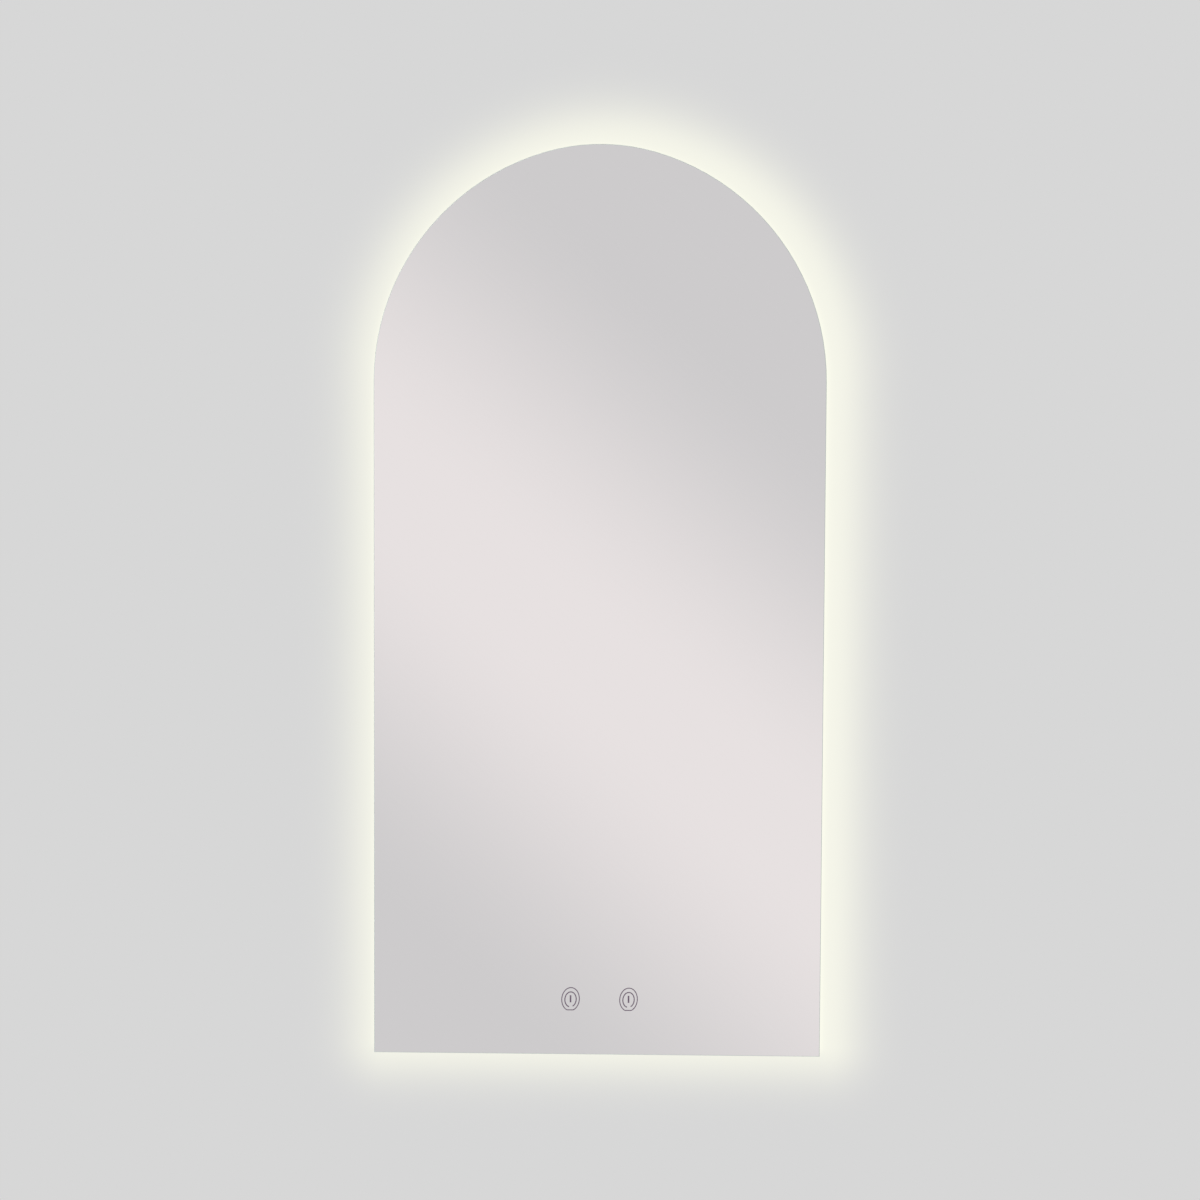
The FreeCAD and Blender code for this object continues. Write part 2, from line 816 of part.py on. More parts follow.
def wall_bumpers():
    """Push-in rubber feet: a head against the wall, a stem through the bar and a barb behind it."""
    barb_end = bar_front_off + bumper_barb_length
    profile = [
        (0, 0),
        (bumper_radius - bumper_edge, 0),
        (bumper_radius, bumper_edge),
        (bumper_radius, flange_inner_off),
        (bumper_stem_radius, flange_inner_off),
        (bumper_stem_radius, bar_front_off),
        (bumper_barb_radius, bar_front_off),
        (bumper_stem_radius / 2, barb_end),
        (0, barb_end),
    ]
    return [aimed(turned(profile), point(x, 0, z), TOWARD_MIRROR) for x, z in bumper_spots]


# -------------------------------------------------------------------------------------- heater pad


def heater_pad():
    wire = rounded_wire(-pad_width / 2, pad_width / 2, pad_low, pad_low + pad_height, pad_corner)
    return plate(wire, pad_back_off, film_back_off)


def heater_trace():
    """Foil ribbon up and down the pad, with both tails brought to the terminal at the bottom."""
    offs = (pad_back_off - trace_thickness, pad_back_off)
    half_ribbon = trace_width / 2
    turn_radius = trace_pitch / 2
    reach = turn_radius + half_ribbon
    tail_z = pad_low + terminal_height / 2
    low_turns = tail_z + trace_width + trace_tail_gap + turn_radius
    high_turns = pad_low + pad_height - trace_margin - reach
    usable = pad_width - 2 * trace_margin - trace_width
    columns = 2 * int((usable / trace_pitch + 1) / 2)
    xs = [(k - (columns - 1) / 2) * trace_pitch for k in range(columns)]
    pieces = []
    for x in xs:
        foot = tail_z - half_ribbon if x in (xs[0], xs[-1]) else low_turns
        pieces.append(slab(x - half_ribbon, x + half_ribbon, *offs, foot, high_turns))
    for k, x in enumerate(xs[:-1]):
        middle = x + turn_radius
        height, low, high = (high_turns, 0, reach) if k % 2 == 0 else (low_turns, -reach, 0)
        hole = disc(middle, height, turn_radius - half_ribbon, *offs)
        half = slab(middle - reach, middle + reach, *offs, height + low, height + high)
        pieces.append(disc(middle, height, reach, *offs).cut(hole).common(half))
    half_terminal = terminal_width / 2
    tails = ((xs[0] - half_ribbon, -half_terminal), (half_terminal, xs[-1] + half_ribbon))
    for x0, x1 in tails:
        pieces.append(slab(x0, x1, *offs, tail_z - half_ribbon, tail_z + half_ribbon))
    return fuse(pieces)


def heater_terminal():
    half_terminal = terminal_width / 2
    top = pad_low + terminal_height
    wire = rounded_wire(-half_terminal, half_terminal, pad_low, top, terminal_rounding)
    block = plate(wire, pad_back_off - terminal_depth, pad_back_off)
    return block.cut(rod(0, terminal_mid_off, heater_lead_diameter / 2, pad_low, pad_low + lead_socket))


# ------------------------------------------------------------------------------------ touch sensors


def touch_housing(x):
    """Cup bonded by its rim to the glass, with a ledge inside for the board."""
    rear = glass_back_off - sensor_depth
    board_back = glass_back_off - electrode_height - sensor_board_thickness
    cup = plate(sensor_wire(x, 0), rear, glass_back_off)
    board_room = plate(sensor_wire(x, -sensor_wall), board_back, glass_back_off)
    rear_room = plate(sensor_wire(x, -sensor_wall - sensor_ledge), rear + sensor_wall, board_back)
    lead_hole = rod(x, sensor_mid_off, sensor_lead_diameter / 2, touch_z, sensor_top)
    return cut(cup, [board_room, rear_room, lead_hole])


def touch_board(x):
    """Circuit board with the sensing electrode that presses on the glass."""
    front = glass_back_off - electrode_height
    board = plate(sensor_wire(x, -sensor_wall - sensor_board_gap), front - sensor_board_thickness, front)
    return fuse([board, disc(x, touch_z, electrode_radius, front, glass_back_off)])


# ---------------------------------------------------------------------------------------- power box

box_exits = [
    (light_exit, channel_mid_off, light_lead_diameter, DOWN),
    (touch_exits[0], channel_mid_off, sensor_lead_diameter, DOWN),
    (touch_exits[1], channel_mid_off, sensor_lead_diameter, DOWN),
    (earth_exit, earth_exit_off, earth_lead_diameter, DOWN),
    (heater_exit, channel_mid_off, heater_lead_diameter, UP),
]


def box_wire(grow):
    reach = box_half + grow
    return rounded_wire(-reach, reach, box_low - grow, box_high + grow, box_corner + grow)


def box_walls(off0, off1):
    """The four walls with a screw boss in each corner."""
    ring = plate(box_wire(0), off0, off1).cut(plate(box_wire(-box_wall), off0, off1))
    return fuse([ring] + holes_at(boss_spots, boss_radius, off0, off1))


def power_box():
    floor = plate(box_wire(0), box_inner_off, box_floor_off)
    post_top = box_inner_off - post_height
    posts = holes_at(post_spots, post_radius, post_top, box_inner_off)
    shell = fuse([floor, box_walls(box_rim_off, box_floor_off)] + posts)
    pilots = holes_at(boss_spots, lid_screw_radius, box_rim_off, box_rim_off + lid_screw_bite)
    post_holes = holes_at(post_spots, lid_screw_radius, post_top, post_top + inner_screw_bite)
    lead_holes = []
    for x, off, diameter, direction in box_exits:
        foot = box_low if direction == DOWN else box_high - box_wall
        lead_holes.append(rod(x, off, diameter / 2 + grommet_wall, foot, foot + box_wall))
    gland_start = point(inner_half, box_mid_off, gland_z)
    gland_hole_radius = gland_thread_radius + gland_hole_play
    gland_hole = Part.makeCylinder(gland_hole_radius, box_wall, gland_start, RIGHT)
    return cut(shell, pilots + post_holes + lead_holes + [gland_hole])


def lid_gasket():
    offs = (lid_front_off, box_rim_off)
    return cut(box_walls(*offs), holes_at(boss_spots, lid_screw_radius + screw_hole_play, *offs))


def power_lid():
    """Flat lid with a locating rim inside the walls and a row of stiffening ribs outside."""
    cover = plate(box_wire(lid_overhang), lid_rear_off, lid_front_off)
    rim_end = box_rim_off + lid_rim_height
    rim_outer = plate(box_wire(-box_wall - lid_rim_play), lid_front_off, rim_end)
    rim_inner = plate(box_wire(-box_wall - lid_rim_play - lid_rim_wall), lid_front_off, rim_end)
    boss_room = holes_at(boss_spots, boss_radius + lid_rim_play, lid_front_off, rim_end)
    rim = cut(rim_outer, [rim_inner] + boss_room)
    rib_half = lid_rib_width / 2
    rib_low = box_mid - lid_rib_length / 2
    rib_high = box_mid + lid_rib_length / 2
    ribs = []
    for k in range(lid_rib_count):
        x = (k - (lid_rib_count - 1) / 2) * lid_rib_pitch
        wire = rounded_wire(x - rib_half, x + rib_half, rib_low, rib_high, lid_rib_rounding)
        ribs.append(plate(wire, lid_rear_off - lid_rib_height, lid_rear_off))
    hole_radius = lid_screw_radius + screw_hole_play
    screw_holes = holes_at(boss_spots, hole_radius, lid_rear_off, lid_front_off)
    return cut(fuse([cover, rim] + ribs), screw_holes)


def lid_screws():
    length = lid_thickness + gasket_thickness + lid_screw_bite
    return [aimed(small_screw(length), point(x, lid_rear_off, z), TOWARD_MIRROR) for x, z in boss_spots]


def eared_case(middle, length, width, depth, corner):
    """Case on the box's floor, with an ear at each end that rests on a post."""
    low = box_mid - width / 2
    wire = rounded_wire(middle - length / 2, middle + length / 2, low, low + width, corner)
    case = plate(wire, box_inner_off - depth, box_inner_off)
    reach = length / 2 + ear_length
    offs = (box_inner_off - post_height - ear_thickness, box_inner_off - post_height)
    ears = slab(middle - reach, middle + reach, *offs, box_mid - ear_width / 2, box_mid + ear_width / 2)
    hole_radius = lid_screw_radius + screw_hole_play
    return cut(fuse([case, soften(ears, corner)]), holes_at(post_spots, hole_radius, *offs))


def power_supply():
    return eared_case(supply_x, supply_length, supply_width, supply_depth, supply_corner)


def terminal_block():
    block = eared_case(block_x, block_length, block_width, block_depth, block_corner)
    rear = box_inner_off - block_depth
    entry_off = box_inner_off - block_depth / 2
    low = box_mid - block_width / 2
    high = box_mid + block_width / 2
    recesses = []
    for k in range(block_ways):
        x = block_x + (k - (block_ways - 1) / 2) * block_way_pitch
        recesses.append(rod(x, entry_off, block_entry_radius, low, low + block_entry_depth))
        recesses.append(rod(x, entry_off, block_entry_radius, high - block_entry_depth, high))
        recesses.append(disc(x, box_mid, block_screw_radius, rear, rear + block_screw_sink))
    return cut(block, recesses)


def inner_screws():
    start_off = box_inner_off - post_height - ear_thickness
    length = ear_thickness + inner_screw_bite
    return [aimed(small_screw(length), point(x, start_off, z), TOWARD_MIRROR) for x, z in post_spots]


def box_tape_pads():
    half_pad = box_pad_width / 2
    low = box_mid - box_pad_height / 2
    return [
        slab(x - half_pad, x + half_pad, box_floor_off, film_back_off, low, low + box_pad_height)
        for x in (-box_pad_spread / 2, box_pad_spread / 2)
    ]


# --------------------------------------------------------------------------------------- cable gland

# Distances along the gland's axis, outward from the box's right wall
gland_barrel_end = gland_hex_thickness + gland_barrel_length
gland_seal_end = gland_barrel_end + gland_seal_head
gland_cap_end = gland_hex_thickness + gland_cap_length


def on_gland_axis(solid, along):
    """A gland piece made along +Z, put on the gland's axis at a distance from the wall."""
    return aimed(solid, point(box_half + along, box_mid_off, gland_z), RIGHT)


def gland_body():
    thread_start = -box_wall - gland_inside
    shank = turned(
        [
            (gland_bore_radius, thread_start),
            (gland_thread_radius, thread_start),
            (gland_thread_radius, 0),
            (gland_barrel_radius, 0),
            (gland_barrel_radius, gland_barrel_end),
            (gland_bore_radius, gland_barrel_end),
        ]
    )
    bore = Part.makeCylinder(gland_bore_radius, gland_hex_thickness)
    collar = hexagon(gland_hex_flats, gland_hex_thickness).cut(bore)
    return on_gland_axis(fuse([shank, collar]), 0)


def gland_locknut():
    bore = Part.makeCylinder(gland_thread_radius, gland_nut_thickness)
    nut = hexagon(gland_hex_flats, gland_nut_thickness).cut(bore)
    return on_gland_axis(nut, -box_wall - gland_nut_thickness)


def gland_seal():
    grip_start = gland_barrel_end - gland_seal_grip
    seal = turned(
        [
            (gland_cable_radius, grip_start),
            (gland_bore_radius, grip_start),
            (gland_bore_radius, gland_barrel_end),
            (gland_seal_radius, gland_barrel_end),
            (gland_seal_radius, gland_seal_end),
            (gland_cable_radius, gland_seal_end),
        ]
    )
    return on_gland_axis(seal, 0)


def gland_cap():
    """Hexagonal cap nut with turned corners and a dome, over the seal and the barrel."""
    cap = turned(
        [
            (gland_barrel_radius, gland_hex_thickness),
            (gland_cap_radius, gland_hex_thickness),
            (gland_cap_radius, gland_cap_end - gland_cap_dome),
            (gland_cap_radius - gland_cap_dome, gland_cap_end),
            (gland_mouth_radius, gland_cap_end),
            (gland_mouth_radius, gland_seal_end),
            (gland_barrel_radius, gland_seal_end),
        ]
    )
    return on_gland_axis(cap.common(hexagon(gland_cap_flats, gland_cap_end)), 0)


# --------------------------------------------------------------------------------------------- leads


def lead(name, route, diameter):
    """Round lead along straight runs, joined by arcs as large as the runs allow."""
    edges = []
    radii = []
    start = route[0]
    for before, corner, after in zip(route, route[1:], route[2:]):
        arriving = corner - before
        leaving = after - corner
        half_turn = arriving.getAngle(leaving) / 2
        reach = 0.45 * min(arriving.Length, leaving.Length)
        radius = reach / math.tan(half_turn)
        arriving.normalize()
        leaving.normalize()
        inward = leaving - arriving
        inward.normalize()
        arc_start = corner - arriving * reach
        arc_end = corner + leaving * reach
        arc_middle = corner + inward * (radius / math.cos(half_turn) - radius)
        edges.append(Part.LineSegment(start, arc_start).toShape())
        edges.append(Part.Arc(arc_start, arc_middle, arc_end).toShape())
        start = arc_end
        radii.append(round(radius, 1))
    edges.append(Part.LineSegment(start, route[-1]).toShape())
    path = Part.Wire(edges)
    circle = Part.Wire(Part.makeCircle(diameter / 2, route[0], route[1] - route[0]))
    tube = path.makePipeShell([circle], True, False)
    expected = path.Length * math.pi * diameter**2 / 4
    print(f"{name}: radii {radii} mm, volume over section times length {tube.Volume / expected:.4f}")
    return tube


def light_lead():
    route = [
        point(light_exit, channel_mid_off, box_low + lead_tail),
        point(light_exit, channel_mid_off, box_low - 28),
        point(0, channel_mid_off, box_low - 64),
        point(0, channel_mid_off, glass_bottom + web_inset),
    ]
    return lead("light_lead", route, light_lead_diameter)


def heater_lead():
    route = [
        point(heater_exit, channel_mid_off, box_high - lead_tail),
        point(heater_exit, channel_mid_off, box_high + 13),
        point(0, terminal_mid_off, pad_low - 15),
        point(0, terminal_mid_off, pad_low + lead_socket),
    ]
    return lead("heater_lead", route, heater_lead_diameter)


def touch_lead(name, sensor_x, exit_x):
    route = [
        point(exit_x, channel_mid_off, box_low + lead_tail),
        point(exit_x, channel_mid_off, box_low - 26),
        point(sensor_x, sensor_mid_off, box_low - 56),
        point(sensor_x, sensor_mid_off, sensor_top - lead_socket),
    ]
    return lead(name, route, sensor_lead_diameter)


lug_front_off = bar_front_off + lug_thickness
lug_barrel_radius = earth_lead_diameter / 2 + lug_thickness
lug_barrel_off = bar_front_off + lug_barrel_radius
lug_barrel_low = earth_spot[1] + lug_radius
lug_barrel_top = lug_barrel_low + lug_barrel_length


def earth_lead():
    route = [
        point(earth_exit, earth_exit_off, box_low + lead_tail),
        point(earth_exit, earth_exit_off, box_low - 10),
        point(earth_exit, lug_barrel_off, lug_barrel_top + 6),
        point(earth_exit, lug_barrel_off, lug_barrel_low + lead_socket),
    ]
    return lead("earth_lead", route, earth_lead_diameter)


def earth_lug():
    """Ring terminal: a flat eye on the bar and a crimped barrel round the lead."""
    x, z = earth_spot
    offs = (bar_front_off, lug_front_off)
    eye = disc(x, z, lug_radius, *offs)
    neck = slab(x - lug_barrel_radius, x + lug_barrel_radius, *offs, z, lug_barrel_top)
    barrel = rod(x, lug_barrel_off, lug_barrel_radius, lug_barrel_low, lug_barrel_top)
    bore = rod(x, lug_barrel_off, earth_lead_diameter / 2, lug_barrel_low, lug_barrel_top)
    return cut(fuse([eye, neck, barrel]), [bore, disc(x, z, screw_radius, *offs)])


def earth_screw():
    x, z = earth_spot
    length = lug_thickness + lower_bar_thickness + screw_end
    return aimed(frame_screw(length), point(x, lug_front_off, z), TOWARD_WALL)


def grommet(diameter, wall, far_flange):
    """Rubber ring along +Z through a wall that starts at the origin."""
    bore = diameter / 2
    sleeve = bore + grommet_wall
    flange = sleeve + grommet_flange
    profile = [
        (bore, -grommet_flange_thickness),
        (flange, -grommet_flange_thickness),
        (flange, 0),
        (sleeve, 0),
        (sleeve, wall),
    ]
    if far_flange:
        far = wall + grommet_flange_thickness
        profile += [(flange, wall), (flange, far), (bore, far)]
    else:
        profile += [(bore, wall)]
    return turned(profile)


def box_grommets():
    rings = []
    for x, off, diameter, direction in box_exits:
        inner_z = box_low + box_wall if direction == DOWN else box_high - box_wall
        rings.append(aimed(grommet(diameter, box_wall, True), point(x, off, inner_z), direction))
    return rings


def web_grommet():
    """Grommet in the bottom web, flush outside so that the feed block covers it."""
    start = point(0, channel_mid_off, glass_bottom + web_inner_inset)
    return aimed(grommet(light_lead_diameter, frame_wall, False), start, DOWN)


def clip(x, off, z, diameter):
    """Adhesive saddle on the film, with a loop round a lead that runs upright."""
    loop_radius = diameter / 2 + clip_wall
    low = z - clip_length / 2
    high = z + clip_length / 2
    base_off = film_back_off - clip_base_thickness
    base = slab(x - clip_base / 2, x + clip_base / 2, base_off, film_back_off, low, high)
    post = slab(x - loop_radius, x + loop_radius, off, base_off, low, high)
    loop = rod(x, off, loop_radius, low, high)
    return fuse([base, post, loop]).cut(rod(x, off, diameter / 2, low, high))


def cable_clips():
    upper = box_low - clip_drop
    return [
        clip(0, channel_mid_off, touch_z, light_lead_diameter),
        clip(light_exit, channel_mid_off, upper, light_lead_diameter),
        clip(touch_exits[0], channel_mid_off, upper, sensor_lead_diameter),
        clip(touch_exits[1], channel_mid_off, upper, sensor_lead_diameter),
    ]


# -------------------------------------------------------------------------------------------- output

os.makedirs("parts", exist_ok=True)


def save(name, pieces):
    """Write one node: a single piece, or a group of separate pieces."""
    if not isinstance(pieces, list):
        pieces = [pieces]
    solids = [solid for piece in pieces for solid in piece.Solids]
    shape = solids[0] if len(solids) == 1 else Part.makeCompound(solids)
    shape.exportStep(f"parts/{name}.step")
    volume = sum(solid.Volume for solid in solids)
    print(f"{name}: {len(solids)} solids, {volume:.1f} mm3, valid {shape.isValid()}")


frame_arch, frame_bottom = frame_rails()
tape_arch, tape_bottom = bonding_tapes()
diffuser_arch, diffuser_bottom = diffusers()
bracket = corner_bracket()
jumper = corner_jumper()
bottom_strip = bottom_run(strip_section(), feed_length / 2, strip_end)

save("wall_rail", wall_rail())
save("mirror_glass", mirror_glass())
save("safety_film", safety_film())
save("frame_arch", frame_arch)
save("frame_bottom", frame_bottom)
save("bonding_tape_arch", tape_arch)
save("bonding_tape_bottom", tape_bottom)
save("corner_bracket_right", bracket)
save("corner_bracket_left", mirrored(bracket))
save("corner_screws", flange_screws(bracket_spots, bracket_thickness))
save("led_strip_arch", arch_run(strip_section(), strip_foot))
save("led_strip_bottom_right", bottom_strip)
save("led_strip_bottom_left", mirrored(bottom_strip))
save("led_chips", led_chips())
save("corner_jumpers", [jumper, mirrored(jumper)])
save("strip_connector", strip_connector())
save("diffuser_arch", diffuser_arch)
save("diffuser_bottom", diffuser_bottom)
save("hanger_bar", hanger_bar())
save("hanger_screws", flange_screws(hanger_spots, hanger_thickness))
save("lower_cross_bar", lower_cross_bar())
save("crossbar_screws", flange_screws(bar_spots, lower_bar_thickness))
save("wall_bumpers", wall_bumpers())
save("heater_pad", heater_pad())
save("heater_trace", heater_trace())
save("heater_terminal", heater_terminal())
for side, sensor_x, exit_x in zip(("left", "right"), touch_xs, touch_exits):
    save(f"touch_housing_{side}", touch_housing(sensor_x))
    save(f"touch_board_{side}", touch_board(sensor_x))
    save(f"touch_lead_{side}", touch_lead(f"touch_lead_{side}", sensor_x, exit_x))
save("power_box", power_box())
save("lid_gasket", lid_gasket())
save("power_lid", power_lid())
save("lid_screws", lid_screws())
save("power_supply", power_supply())
save("terminal_block", terminal_block())
save("inner_screws", inner_screws())
save("box_tape_pads", box_tape_pads())
save("gland_body", gland_body())
save("gland_locknut", gland_locknut())
save("gland_seal", gland_seal())
save("gland_cap", gland_cap())
save("light_lead", light_lead())
save("heater_lead", heater_lead())
save("earth_lead", earth_lead())
save("earth_lug", earth_lug())
save("earth_screw", earth_screw())
save("box_grommets", box_grommets())
save("web_grommet", web_grommet())
save("cable_clips", cable_clips())
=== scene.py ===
"""Looks of the arched mirror with a halo of light behind it.

Metres, in the part's own frame: X to the viewer's right, Y into the wall, Z up. The wall is the
plane y = 0, and the glass faces -Y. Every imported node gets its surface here, and the larger ones
get softened edges. The two printed touch marks are made here, and so is the studio: wall, floor,
lamps and camera.
"""

import bmesh
import bpy
import json
import math
from mathutils import Matrix, Vector

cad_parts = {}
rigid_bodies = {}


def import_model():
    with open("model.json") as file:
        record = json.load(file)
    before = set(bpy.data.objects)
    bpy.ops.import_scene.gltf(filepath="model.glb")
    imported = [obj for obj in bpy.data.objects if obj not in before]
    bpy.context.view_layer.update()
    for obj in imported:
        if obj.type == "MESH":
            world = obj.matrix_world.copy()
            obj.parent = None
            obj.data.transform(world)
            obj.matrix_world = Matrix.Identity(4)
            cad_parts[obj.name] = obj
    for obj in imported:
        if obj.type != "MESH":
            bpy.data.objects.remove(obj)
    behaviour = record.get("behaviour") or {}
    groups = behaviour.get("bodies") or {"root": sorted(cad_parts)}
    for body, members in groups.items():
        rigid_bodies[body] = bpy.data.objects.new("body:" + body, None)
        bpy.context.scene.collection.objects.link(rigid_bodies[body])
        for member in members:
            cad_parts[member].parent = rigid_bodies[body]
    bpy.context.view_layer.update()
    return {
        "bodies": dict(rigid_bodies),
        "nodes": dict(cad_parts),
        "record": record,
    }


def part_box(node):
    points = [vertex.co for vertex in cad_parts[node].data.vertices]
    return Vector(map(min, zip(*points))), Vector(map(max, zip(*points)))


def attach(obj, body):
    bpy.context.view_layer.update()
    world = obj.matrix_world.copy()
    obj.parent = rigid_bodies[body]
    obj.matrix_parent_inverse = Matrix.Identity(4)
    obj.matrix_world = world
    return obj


MM = 0.001

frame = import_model()
nodes = frame["nodes"]

# ----------------------------------------------------------------------------- sizes from the frame

glass_low, glass_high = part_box("mirror_glass")
half_width = glass_high.x
glass_face = glass_low.y
glass_back = glass_high.y
glass_bottom = glass_low.z
glass_top = glass_high.z

# The rounded top: an arc at each side (the haunches) and a crown arc between them, all tangent
ARCH_RISE = 0.260
HAUNCH_TURN = math.radians(74)
side_top = glass_top - ARCH_RISE
slant = math.tan(HAUNCH_TURN) - 1 / math.cos(HAUNCH_TURN)
haunch_radius = (ARCH_RISE + half_width * slant) / (1 + slant)
haunch_x = half_width - haunch_radius
crown_z = side_top - haunch_x * math.tan(HAUNCH_TURN)
crown_radius = glass_top - crown_z

# ------------------------------------------------------------------------------------ node helpers

MIX_COLOUR_INPUTS = (0, 6, 7)  # a mix node's factor and its two colours
MIX_COLOUR_OUTPUT = 2
NOISE_MIDDLE = (0.3, 0.7)  # where most of a noise's values lie
NOISE_RANGE = (0.2, 0.8)  # where nearly all of them lie
SHADER_INPUTS = {"ior": "IOR", "specular": "Specular IOR Level"}


def colour(red, green, blue):
    """Opaque colour in linear light."""
    return (red, green, blue, 1.0)


def shown(red, green, blue):
    """Colour of a tone given as it shows on screen, 0 to 255, by the sRGB curve."""

    def linear(level):
        share = level / 255
        return share / 12.92 if share <= 0.04045 else ((share + 0.055) / 1.055) ** 2.4

    return colour(linear(red), linear(green), linear(blue))


class Nodes:
    """Short ways to add and join the nodes of one tree."""

    def __init__(self, tree):
        self.tree = tree

    def fill(self, socket, value):
        """Joins an input to another node's output, or gives it a value."""
        if isinstance(value, bpy.types.NodeSocket):
            self.tree.links.new(value, socket)
        elif value is not None:
            socket.default_value = value

    def add(self, kind, *values, **settings):
        """A node whose first inputs take these values or sockets. None leaves an input as it is."""
        node = self.tree.nodes.new("ShaderNode" + kind)
        for name, setting in settings.items():
            setattr(node, name, setting)
        for socket, value in zip(node.inputs, values):
            self.fill(socket, value)
        return node

    def math(self, operation, *values):
        return self.add("Math", *values, operation=operation).outputs[0]

    def vector_math(self, operation, *values, output=0):
        return self.add("VectorMath", *values, operation=operation).outputs[output]

    def span(self, value, low, high, to_low=0.0, to_high=1.0):
        """The value taken smoothly from one range to another, held at its ends."""
        ends = (low, high, to_low, to_high)
        return self.add("MapRange", value, *ends, interpolation_type="SMOOTHSTEP").outputs[0]

    def spread(self, noise, low, high):
        """The middle of a noise's range, taken to the range from low to high."""
        return self.span(noise, *NOISE_MIDDLE, low, high)

    def choose(self, factor, first, second):
        """The first number where the factor is 0, the second where it is 1."""
        return self.add("Mix", factor, None, first, second).outputs[0]

    def mix(self, factor, first, second):
        """The first colour where the factor is 0, the second where it is 1."""
        node = self.add("Mix", data_type="RGBA")
        for index, value in zip(MIX_COLOUR_INPUTS, (factor, first, second)):
            self.fill(node.inputs[index], value)
        return node.outputs[MIX_COLOUR_OUTPUT]

    def split(self, vector):
        """The x, y and z of a vector."""
        return self.add("SeparateXYZ", vector).outputs

    def place(self):
        """Where a point is on its own piece, which moves with it."""
        return self.add("TexCoord").outputs["Object"]

    def facing(self):
        """The surface's own normal, split into x, y and z."""
        return self.split(self.add("TexCoord").outputs["Normal"])

    def noise(self, size, detail=2.0, roughness=0.5, stretch=(1, 1, 1), place=None):
        """Noise from 0 to 1, with blotches about this size in metres, on the piece or at a place."""
        where = place or self.vector_math("MULTIPLY", self.place(), stretch)
        node = self.add("TexNoise", where)
        node.inputs["Scale"].default_value = 1 / size
        node.inputs["Detail"].default_value = detail
        node.inputs["Roughness"].default_value = roughness
        return node.outputs["Fac"]

    def cells(self, size, output="Color"):
        """Small cells of about this size: a colour for each, or the distance from its middle."""
        node = self.add("TexVoronoi", self.place())
        node.inputs["Scale"].default_value = 1 / size
        return node.outputs[output]

    def bump(self, height, depth):
        """A normal that follows the height, where a height of 1 stands this deep, in metres."""
        node = self.add("Bump")
        self.fill(node.inputs["Distance"], depth)
        self.fill(node.inputs["Height"], height)
        return node.outputs[0]


class Surface(Nodes):
    """One material around its shader."""

    def __init__(self, name, **inputs):
        self.material = bpy.data.materials.new(name)
        self.material.use_nodes = True
        super().__init__(self.material.node_tree)
        self.shader = self.tree.nodes["Principled BSDF"]
        self.set(**inputs)

    def set(self, **inputs):
        """Fills shader inputs named like base_color or coat_weight."""
        for name, value in inputs.items():
            title = SHADER_INPUTS.get(name, name.replace("_", " ").title())
            self.fill(self.shader.inputs[title], value)
        return self


def outline_group():
    """Group that gives a point's inset from the glass edge and its run along the outline."""
    tree = bpy.data.node_groups.new("outline", "ShaderNodeTree")
    tree.interface.new_socket("Place", in_out="INPUT", socket_type="NodeSocketVector")
    for name in ("Side Inset", "Bottom Inset", "Inset", "Run"):
        tree.interface.new_socket(name, in_out="OUTPUT", socket_type="NodeSocketFloat")
    work = Nodes(tree)
    source = tree.nodes.new("NodeGroupInput")
    result = tree.nodes.new("NodeGroupOutput")
    x, _, z = work.split(source.outputs[0])
    side = work.math("ABSOLUTE", x)
    haunch_across = work.math("SUBTRACT", side, haunch_x)
    haunch_up = work.math("SUBTRACT", z, side_top)
    crown_up = work.math("SUBTRACT", z, crown_z)

    def reach(across, up):
        squares = work.math("MULTIPLY_ADD", across, across, work.math("MULTIPLY", up, up))
        return work.math("SQRT", squares)

    leg_inset = work.math("SUBTRACT", half_width, side)
    haunch_inset = work.math("SUBTRACT", haunch_radius, reach(haunch_across, haunch_up))
    crown_inset = work.math("SUBTRACT", crown_radius, reach(side, crown_up))
    haunch_angle = work.math("ARCTAN2", haunch_up, haunch_across)
    crown_angle = work.math("ARCTAN2", crown_up, side)
    haunch_end = side_top + HAUNCH_TURN * haunch_radius
    crown_start = haunch_end - HAUNCH_TURN * crown_radius
    haunch_run = work.math("MULTIPLY_ADD", haunch_angle, haunch_radius, side_top)
    crown_run = work.math("MULTIPLY_ADD", crown_angle, crown_radius, crown_start)
    in_arch = work.math("GREATER_THAN", haunch_up, 0.0)
    crown_line = work.math("MULTIPLY", haunch_across, math.tan(HAUNCH_TURN))
    in_crown = work.math("GREATER_THAN", haunch_up, crown_line)

    def pick(leg, haunch, crown):
        return work.choose(in_arch, leg, work.choose(in_crown, haunch, crown))

    side_inset = pick(leg_inset, haunch_inset, crown_inset)
    bottom_inset = work.math("SUBTRACT", z, glass_bottom)
    inset = work.math("MINIMUM", side_inset, bottom_inset)
    on_bottom = work.math("LESS_THAN", bottom_inset, side_inset)
    run = work.choose(on_bottom, pick(z, haunch_run, crown_run), x)
    outputs = (side_inset, bottom_inset, inset, run)
    for socket, value in zip(result.inputs, outputs):
        tree.links.new(value, socket)
    return tree


OUTLINE = outline_group()


def outline_space(work, place=None):
    """Outputs named Side Inset, Bottom Inset, Inset and Run, for a place or for the piece's own."""
    node = work.add("Group", node_tree=OUTLINE)
    work.fill(node.inputs[0], place or work.place())
    return node.outputs


# --------------------------------------------------------------------------------------- materials

